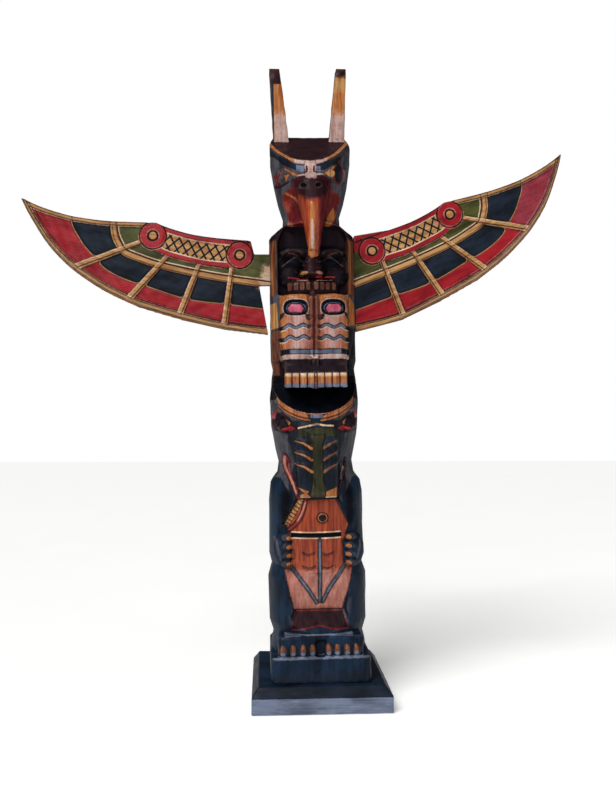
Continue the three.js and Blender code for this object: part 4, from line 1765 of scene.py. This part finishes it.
@dataclass
class Pole:
    """The carved log: a horned bird over a hidden face, the bird's legs, and a bear with its fish."""

    bird: Bird = field(default_factory=Bird)
    face: HiddenFace = field(default_factory=HiddenFace)
    legs: Legs = field(default_factory=Legs)
    bear: Bear = field(default_factory=Bear)
    body: BearBody = field(default_factory=BearBody)
    fish: Fish = field(default_factory=Fish)
    grit: float = 0.72
    most: int = 194_000

    def build(self) -> bpy.types.Object:
        """Carves and paints the log.

        Returns:
            The finished piece.
        """
        creatures = (self.bear, self.body, self.fish, self.face, self.legs, self.bird)
        marks = [Mark(Everywhere(), SMOKE, back=FAR, facing=-2)]
        marks += [mark for creature in creatures for mark in creature.marks()]
        marks.append(bar(BRONZE, -50, 60, 50, 441, front=20, back=FAR, facing=-2, fade=4))
        parts = [part for creature in creatures if creature is not self.fish for part in creature.parts()]
        carving = Carving("carved_pole", "pole", leaning(), grit=self.grit)
        carving.take_up(parts)
        carving.carve(marks)
        carving.thin(marks, self.most)
        used = carving.paint(marks)
        finish = PaintedWood("Painted cedar log", (2.2, 2.2, 34.0), (7.0, 7.0, 30.0))
        return carving.put_back(finish.make(used))


@dataclass
class Wing:
    """One wing board: an arm with two discs and a hatched panel, and feathers in three colours."""

    name: str
    side: int
    hub: Point  # the inner disc's place beside the log, mm
    rise: float  # how far the wing is raised, degrees
    # whether the tip carries a painted reflection
    tip_reflection: bool = False
    disc: float = 10.6
    apart: float = 70.2
    border: float = 3.6
    spars: tuple[Points, ...] = (
        ((79, -7), (126.5, -39.5)),
        ((55, -12), (78.5, -54.5)),
        ((29.5, -13), (36.5, -58)),
        ((4, -10), (0, -58.5)),
    )
    band: Points = (
        (-50, -17), (-24, -18.5), (0, -20.5), (27, -22), (60, -22), (78, -20), (89, -18), (95, -13), (
            100, -6
        ),
        (103, 3), (104, 9),
    )
    reach: Points = (
        (-50, -36), (-34, -37), (0, -40), (33, -43), (66, -40), (78, -39), (90, -37), (102, -33), (110, -27),
        (120, -20), (128, -12), (133, -6), (136, 1), (136, 9),
    )
    top: Points = ((77, 9.4), (105, 4), (125, 1.8), (140, 1.3), (160, 3), (179, 7), (198, 12))
    low: Points = (
        (192, 26), (179, 7), (173, -1), (162, -13), (149, -25.5), (132, -37), (115, -45), (95, -52),
        (70, -57.5), (35, -60), (0, -60.5),
    )
    foot: Point = (-40.7, -52.6)  # where the lower edge meets the log
    bevel: float = 3.0
    relief: float = 1.2
    half_thick: float = 4.0
    grit: float = 0.5
    most: int = 190_000

    def laid(self) -> Matrix:
        """Finds how the drawing lies in the frame.

        Returns:
            The turn and shift of the wing.
        """
        across, up = self.hub
        shift = Matrix.Translation((self.side * across * MM, 0, up * MM))
        return leaning() @ shift @ Matrix.Rotation(-self.side * math.radians(self.rise), 4, "Y")

    def build(self) -> bpy.types.Object:
        """Carves and paints the wing.

        Returns:
            The finished piece.
        """
        marks = self.marks()
        node = {-1: "wing_left", 1: "wing_right"}[self.side]
        carving = Carving(self.name, node, self.laid(), side=self.side, grit=self.grit, flat=True)
        carving.take_up()
        self.pare(carving)
        carving.carve(marks)
        carving.thin(marks, self.most)
        used = carving.paint(marks)
        turn = -self.side * math.radians(self.rise) - LEAN
        finish = PaintedWood(f"Painted board {self.name}", (30.0, 2.0, 2.0), (26.0, 8.0, 8.0), turn=turn)
        return carving.put_back(finish.make(used))

    def pare(self, carving: Carving) -> None:
        """Pares the lower edge to its bevel, and the upper one to its curve, up to the wing's tip.

        Args:
            carving: The wing on the bench.
        """
        low, top = (smooth_line(points) for points in (self.low, self.top))
        tip_u, tip_v = self.low[1]
        top = [(u, v) for u, v in top if u < tip_u]
        root = ((-60, -70), (-60, 60))
        slope = self.bevel / (2 * self.half_thick - self.relief)
        carving.trim(Patch((*low, *root, (200, 60))), slope, self.half_thick)
        carving.trim(Patch((*top, *((u, v) for u, v in low if v <= tip_v), *root, (top[0][0], 60))))

    def marks(self) -> list[Mark]:
        """Draws the wing.

        Returns:
            Its marks, from the ground up.
        """
        marks = [
            Mark(Everywhere(), BARK, back=FAR, facing=-2),
            Mark(Everywhere(), CRIMSON, facing=0.45),
        ]
        # Dusky tone over the tip: painted reflection.
        if self.tip_reflection:
            marks.append(patch(MAUVE, (112, -60), (210, -60), (210, 30), (126, 30), facing=0.45, fade=17))
        marks += [*self.feathers(), *self.frame_lines(), *self.arm(), *self.discs()]
        if not self.tip_reflection:
            marks.append(bar(CREAM, -34, -22.5, -20.5, -4, facing=0.45, fade=12))
        return marks

    def feathers(self) -> list[Mark]:
        """Draws the green and the dark feathers and the bands between them.

        Returns:
            The marks.
        """
        band = Stroke(self.band, 4.6)
        inner, outer = smooth_line(self.band), smooth_line(self.reach)
        dark = Patch((*inner, *reversed(outer)))
        spars = Outside(Joined(tuple(Stroke(ends, 4.4, 5.4) for ends in self.spars)))
        panel = Rounded(dark, Common((spars, Outside(band))), 2.2)
        return [
            patch(OLIVE, *inner, (60, 14), (-50, 14), facing=0.45),
            Mark(Rim(panel, 1.5), OCHRE, raised=0.0, trench=0.3),
            Mark(panel, NAVY, raised=-0.35, soft=0.5),
            stroke(
                CREAM, 0.9, *((u - max(0, (u - 80) / 7), v + 3.9) for u, v in self.band), raised=0.25,
                fade=1.2,
            ),
            stroke(BRONZE, 1.3, *((u - max(0, (u - 80) / 9), v + 2.8) for u, v in self.band), raised=-0.5),
            Mark(band, OCHRE, raised=0.3, soft=0.6, trench=0.3),
            stroke(BRONZE, 0.8, *((u, v - 1.5) for u, v in self.band), fade=2),
        ]

    def frame_lines(self) -> list[Mark]:
        """Draws the spars and the borders of the board.

        Returns:
            The marks.
        """
        marks = []
        for (u0, v0), (u1, v1) in self.spars:
            slide = 1.25
            marks.append(stroke(OCHRE, 4.0, (u0, v0), (u1, v1), tip=5.2, facing=0.2))
            marks.append(stroke(
                BRONZE, 0.9, (u0 - slide, v0 - 1.2), (u1 - slide, v1), raised=-0.45, soft=0.3
            ))
            marks.append(stroke(CREAM, 0.7, (u0 + 1.6, v0), (u1 + 1.9, v1 + 2), fade=1.8))
        wide = 2 * self.border
        edge = (*self.low, self.foot)
        lip = tuple((u - 0.6, v + 2) for u, v in edge)
        step = tuple((u - 1.7, v + 5.4) for u, v in edge)
        line = tuple((u - 1.5, v + 4.9) for u, v in edge)
        spars = Outside(Joined(tuple(Stroke(ends, 4.0, 5.0) for ends in self.spars)))
        marks += [
            stroke(CREAM, wide + 0.6, *self.top, fade=1.3),
            stroke(BRONZE, wide - 0.2, *self.top, raised=-0.5),
            stroke(OCHRE, wide - 1.6, *self.top, raised=0.5),
            stroke(BRONZE, 1.9, *self.top, facing=-0.8, fade=1.4),
            Mark(Common((Stroke(step, 2.6), spars)), None, raised=-self.relief, soft=0.3),
            stroke(CREAM, 0.8, *line, fade=1.4),
            stroke(BRONZE, 4.8, *lip),
            stroke(OCHRE, 4.0, *lip),
            stroke(BARK, 2.2, *edge, facing=-0.6),
        ]
        return marks

    def arm(self) -> list[Mark]:
        """Draws the red arm and its hatched panel.

        Returns:
            The marks.
        """
        upper = ((8, 6.2), (20, 4.7), (40, 3.3), (62, 4.6))
        lower = ((62, -7.8), (54, -9.3), (28, -10.1), (8, -7.6))
        panel = Patch((*upper, *lower))
        marks = [
            patch(
                CRIMSON, (-2, -10), (5, -11.6), (28, -14), (54, -13.2), (68, -11), (70, 10.4), (74, 14),
                (58, 16), (-18, 16), (-14, 8), facing=0.1,
            ),
            # Pale line along the arm's lower edge: painted highlight.
            stroke(SALMON, 1.0, (11, -13.2), (28, -14.5), (54, -13.9), (61, -12.6), fade=1.2, trench=CUT),
            Mark(panel, OCHRE, raised=-0.5, soft=0.7, trench=0.3),
        ]
        for i in range(-1, 8):
            for way in (-1, 1):
                start = 8.4 + 7.3 * i
                line = Stroke(((start, -2 - 10 * way), (start + 16, -2 + 10 * way)), 1.25, curved=False)
                marks.append(Mark(Common((line, panel)), NAVY, raised=-0.45, soft=0.5))
        marks += [
            stroke(CREAM, 1.0, *lower, fade=1.2),
            stroke(CREAM, 0.9, *upper, fade=1.6),
            stroke(MAROON, 1.6, (-12, 12.4), (20, 9.2), (40, 7.5), (58, 8.4), (72, 10.4), fade=1.6),
        ]
        return marks

    def discs(self) -> list[Mark]:
        """Draws the two discs with their pegs.

        Returns:
            The marks.
        """
        marks = []
        for u in (0.0, self.apart):
            round_edge = Oval((u, 0), (self.disc, self.disc))
            ring = Oval((u, 0), (3.9, 3.9))
            marks += [
                Mark(round_edge, CRIMSON, facing=-0.4, trench=0.8),
                # Pale arcs on the lower part of each disc's rim and the upper part of its ring: painted
                # highlights.
                Mark(Common((Rim(round_edge, 2.0), area(u - 12, -12, u + 12, -2))), SALMON, fade=1.6),
                Mark(Rim(round_edge, 0.9), MAROON, raised=-0.5),
                Mark(Rim(ring, 1.6), MAROON, raised=-0.7, soft=0.8),
                oval(OCHRE, (u, 0), (2.9, 2.9), raised=0.4),
                Mark(
                    Common((Rim(Oval((u, 0), (4.9, 4.9)), 0.8), area(u - 9, -1, u + 9, 9))), SALMON,
                    fade=1.6,
                ),
            ]
        return marks


@dataclass
class Plinth:
    """The square board under the log, with a sloped edge."""

    face: float = 12.0  # height of its upright sides, mm
    inward: float = 5.2  # how far the slope goes in
    soft: float = 0.8  # how much its edges are rounded
    cuts: int = 4

    def build(self) -> bpy.types.Object:
        """Models and paints the board.

        Returns:
            The finished piece.
        """
        low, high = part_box("plinth")
        side = high[0] - low[0]
        cube = partial(bpy.ops.mesh.primitive_cube_add, size=1)
        piece = rough_out(cube, (0, 0, self.face / 2), (side / MM, side / MM, self.face))
        self.slope(piece, high[2] - self.face * MM, 1 - 2 * self.inward * MM / side)
        apply_modifier(
            piece, "BEVEL", width=self.soft * MM, segments=3, limit_method="ANGLE", angle_limit=0.5
        )
        levels = {"subdivision_type": "SIMPLE", "levels": self.cuts, "render_levels": self.cuts}
        apply_modifier(piece, "SUBSURF", **levels)
        carving = Carving("plinth_board", "plinth", Matrix(), grit=0, piece=piece)
        piece.name = carving.name
        marks = self.marks()
        carving.carve(marks)
        used = carving.paint(marks)
        # The board's edges are lightened more: wear and painted edge highlight.
        finish = PaintedWood("Painted plinth", (40.0, 40.0, 1.6), (30.0, 30.0, 6.0), edge_wear_and_highlight=0.3)
        return carving.put_back(finish.make(used))

    def slope(self, piece: bpy.types.Object, rise: float, shrink: float) -> None:
        """Draws the top up and in, to make the sloped edge.

        Args:
            piece: The board.
            rise: How far up, metres.
            shrink: The top's new share of its size.
        """
        choose(piece)
        for polygon in piece.data.polygons:
            polygon.select = polygon.normal.z > 0.5
        for edge in piece.data.edges:
            edge.select = False
        for vertex in piece.data.vertices:
            vertex.select = vertex.co.z > self.face * MM / 2
        bpy.ops.object.mode_set(mode="EDIT")
        bpy.ops.mesh.select_mode(type="FACE")
        bpy.ops.mesh.extrude_region_move(TRANSFORM_OT_translate={"value": (0, 0, rise)})
        bpy.ops.transform.resize(value=(shrink, shrink, 1), center_override=(0, 0, self.face * MM + rise))
        bpy.ops.object.mode_set(mode="OBJECT")

    def marks(self) -> list[Mark]:
        """Draws the board's colours.

        Returns:
            The marks.
        """
        wide = 60.0
        return [
            Mark(Everywhere(), SLATE, back=FAR, facing=-2),
            ground(area(-wide, self.face - 0.2, wide, PLINTH_TOP - 0.3), NAVY),
            # The upright sides are painted lighter than the slope and top: painted light.
            bar(STEEL, -wide, -5, wide, self.face - 0.5, back=FAR, facing=-2),
        ]


# ---- The studio ----------------------------------------------------------------------------------
@dataclass(frozen=True)
class Studio:
    """A pale floor, soft light and a camera in front of the log."""

    eye: tuple[float, float, float] = (-0.0417, -0.6386, 0.2103)
    tilt: float = 1.79
    turn: float = -3.0
    lens: float = 36.0
    sky: float = 0.1  # how strong the surroundings are as a light
    daylight: float = 2.6
    haze: float = 32.0  # how wide the daylight's source looks, degrees

    def build(self) -> None:
        """Sets up the floor, the lights and the camera."""
        self.floor()
        self.window()
        self.lamp("fill", (0.85, -0.8, 0.55), 0.6, 1.4)
        self.lamp("front", (-0.25, -1.1, 0.75), 0.5, 2.4)
        self.backdrop()
        bpy.context.scene.view_settings.view_transform = "Standard"
        self.camera()

    def backdrop(self) -> None:
        """Makes the surroundings white to look at, and dim as a light."""
        world = bpy.data.worlds.new("Studio")
        world.use_nodes = True
        tree = world.node_tree
        paper = tree.nodes["Background"]
        paper.inputs["Color"].default_value = (1.0, 1.0, 1.0, 1.0)
        path = tree.nodes.new("ShaderNodeLightPath")
        seen = tree.nodes.new("ShaderNodeMapRange")
        seen.inputs["To Min"].default_value = self.sky
        tree.links.new(path.outputs["Is Camera Ray"], seen.inputs["Value"])
        tree.links.new(seen.outputs["Result"], paper.inputs["Strength"])
        bpy.context.scene.world = world

    def window(self) -> None:
        """Lets soft daylight in from the upper left, evenly over the floor."""
        data = bpy.data.lights.new("window", "SUN")
        data.energy = self.daylight
        data.angle = math.radians(self.haze)
        lamp = bpy.data.objects.new("window", data)
        lamp.rotation_euler = (math.radians(40), 0, math.radians(-38))
        bpy.context.scene.collection.objects.link(lamp)

    def floor(self) -> None:
        """Lays the plain floor."""
        bpy.ops.mesh.primitive_plane_add(size=8, location=(0, 0, -0.0005))
        floor = bpy.context.active_object
        floor.name = "floor"
        desk = Desk("Pale floor")
        cloud = desk.cloud((90.0, 90.0, 90.0))
        colour = desk.blend(rgb("#f4f4f2"), rgb("#fafaf8"), cloud)
        values = {"Base Color": colour, "Roughness": 0.9, "Emission Color": colour, "Emission Strength": 0.3}
        desk.node_out(desk.node("ShaderNodeBsdfPrincipled", {}, values))
        floor.data.materials.append(desk.material)

    def lamp(self, name: str, place: Sequence[float], size: float, power: float) -> None:
        """Hangs one soft lamp that looks at the middle of the log.

        Args:
            name: Its name.
            place: Where it hangs, metres.
            size: How wide it is, metres.
            power: Its power, watts.
        """
        data = bpy.data.lights.new(name, "AREA")
        data.size = size
        data.energy = power
        lamp = bpy.data.objects.new(name, data)
        lamp.location = place
        aim = Vector((0, 0, 0.25)) - Vector(place)
        lamp.rotation_euler = aim.to_track_quat("-Z", "Y").to_euler()
        bpy.context.scene.collection.objects.link(lamp)

    def camera(self) -> None:
        """Places the camera."""
        data = bpy.data.cameras.new("camera")
        data.lens = self.lens
        data.sensor_width = 36
        data.dof.use_dof = False
        camera = bpy.data.objects.new("camera", data)
        camera.location = self.eye
        camera.rotation_euler = (math.radians(90 + self.tilt), 0, math.radians(self.turn))
        bpy.context.scene.collection.objects.link(camera)
        bpy.context.scene.camera = camera


def main() -> None:
    """Builds the pieces, then the studio."""
    logging.basicConfig(level=logging.INFO, format="%(name)s: %(message)s")
    left = Wing("left_wing", -1, (57.3, 346.5), 13.1, foot=(-35.5, -56.9))
    right = Wing("right_wing", 1, (48.7, 349.3), 24.7, tip_reflection=True)
    for builder in (Plinth(), Pole(), left, right):
        piece = builder.build()
        LOG.info("%s: done", piece.name)
    Studio().build()


if __name__ == "__main__":
    main()
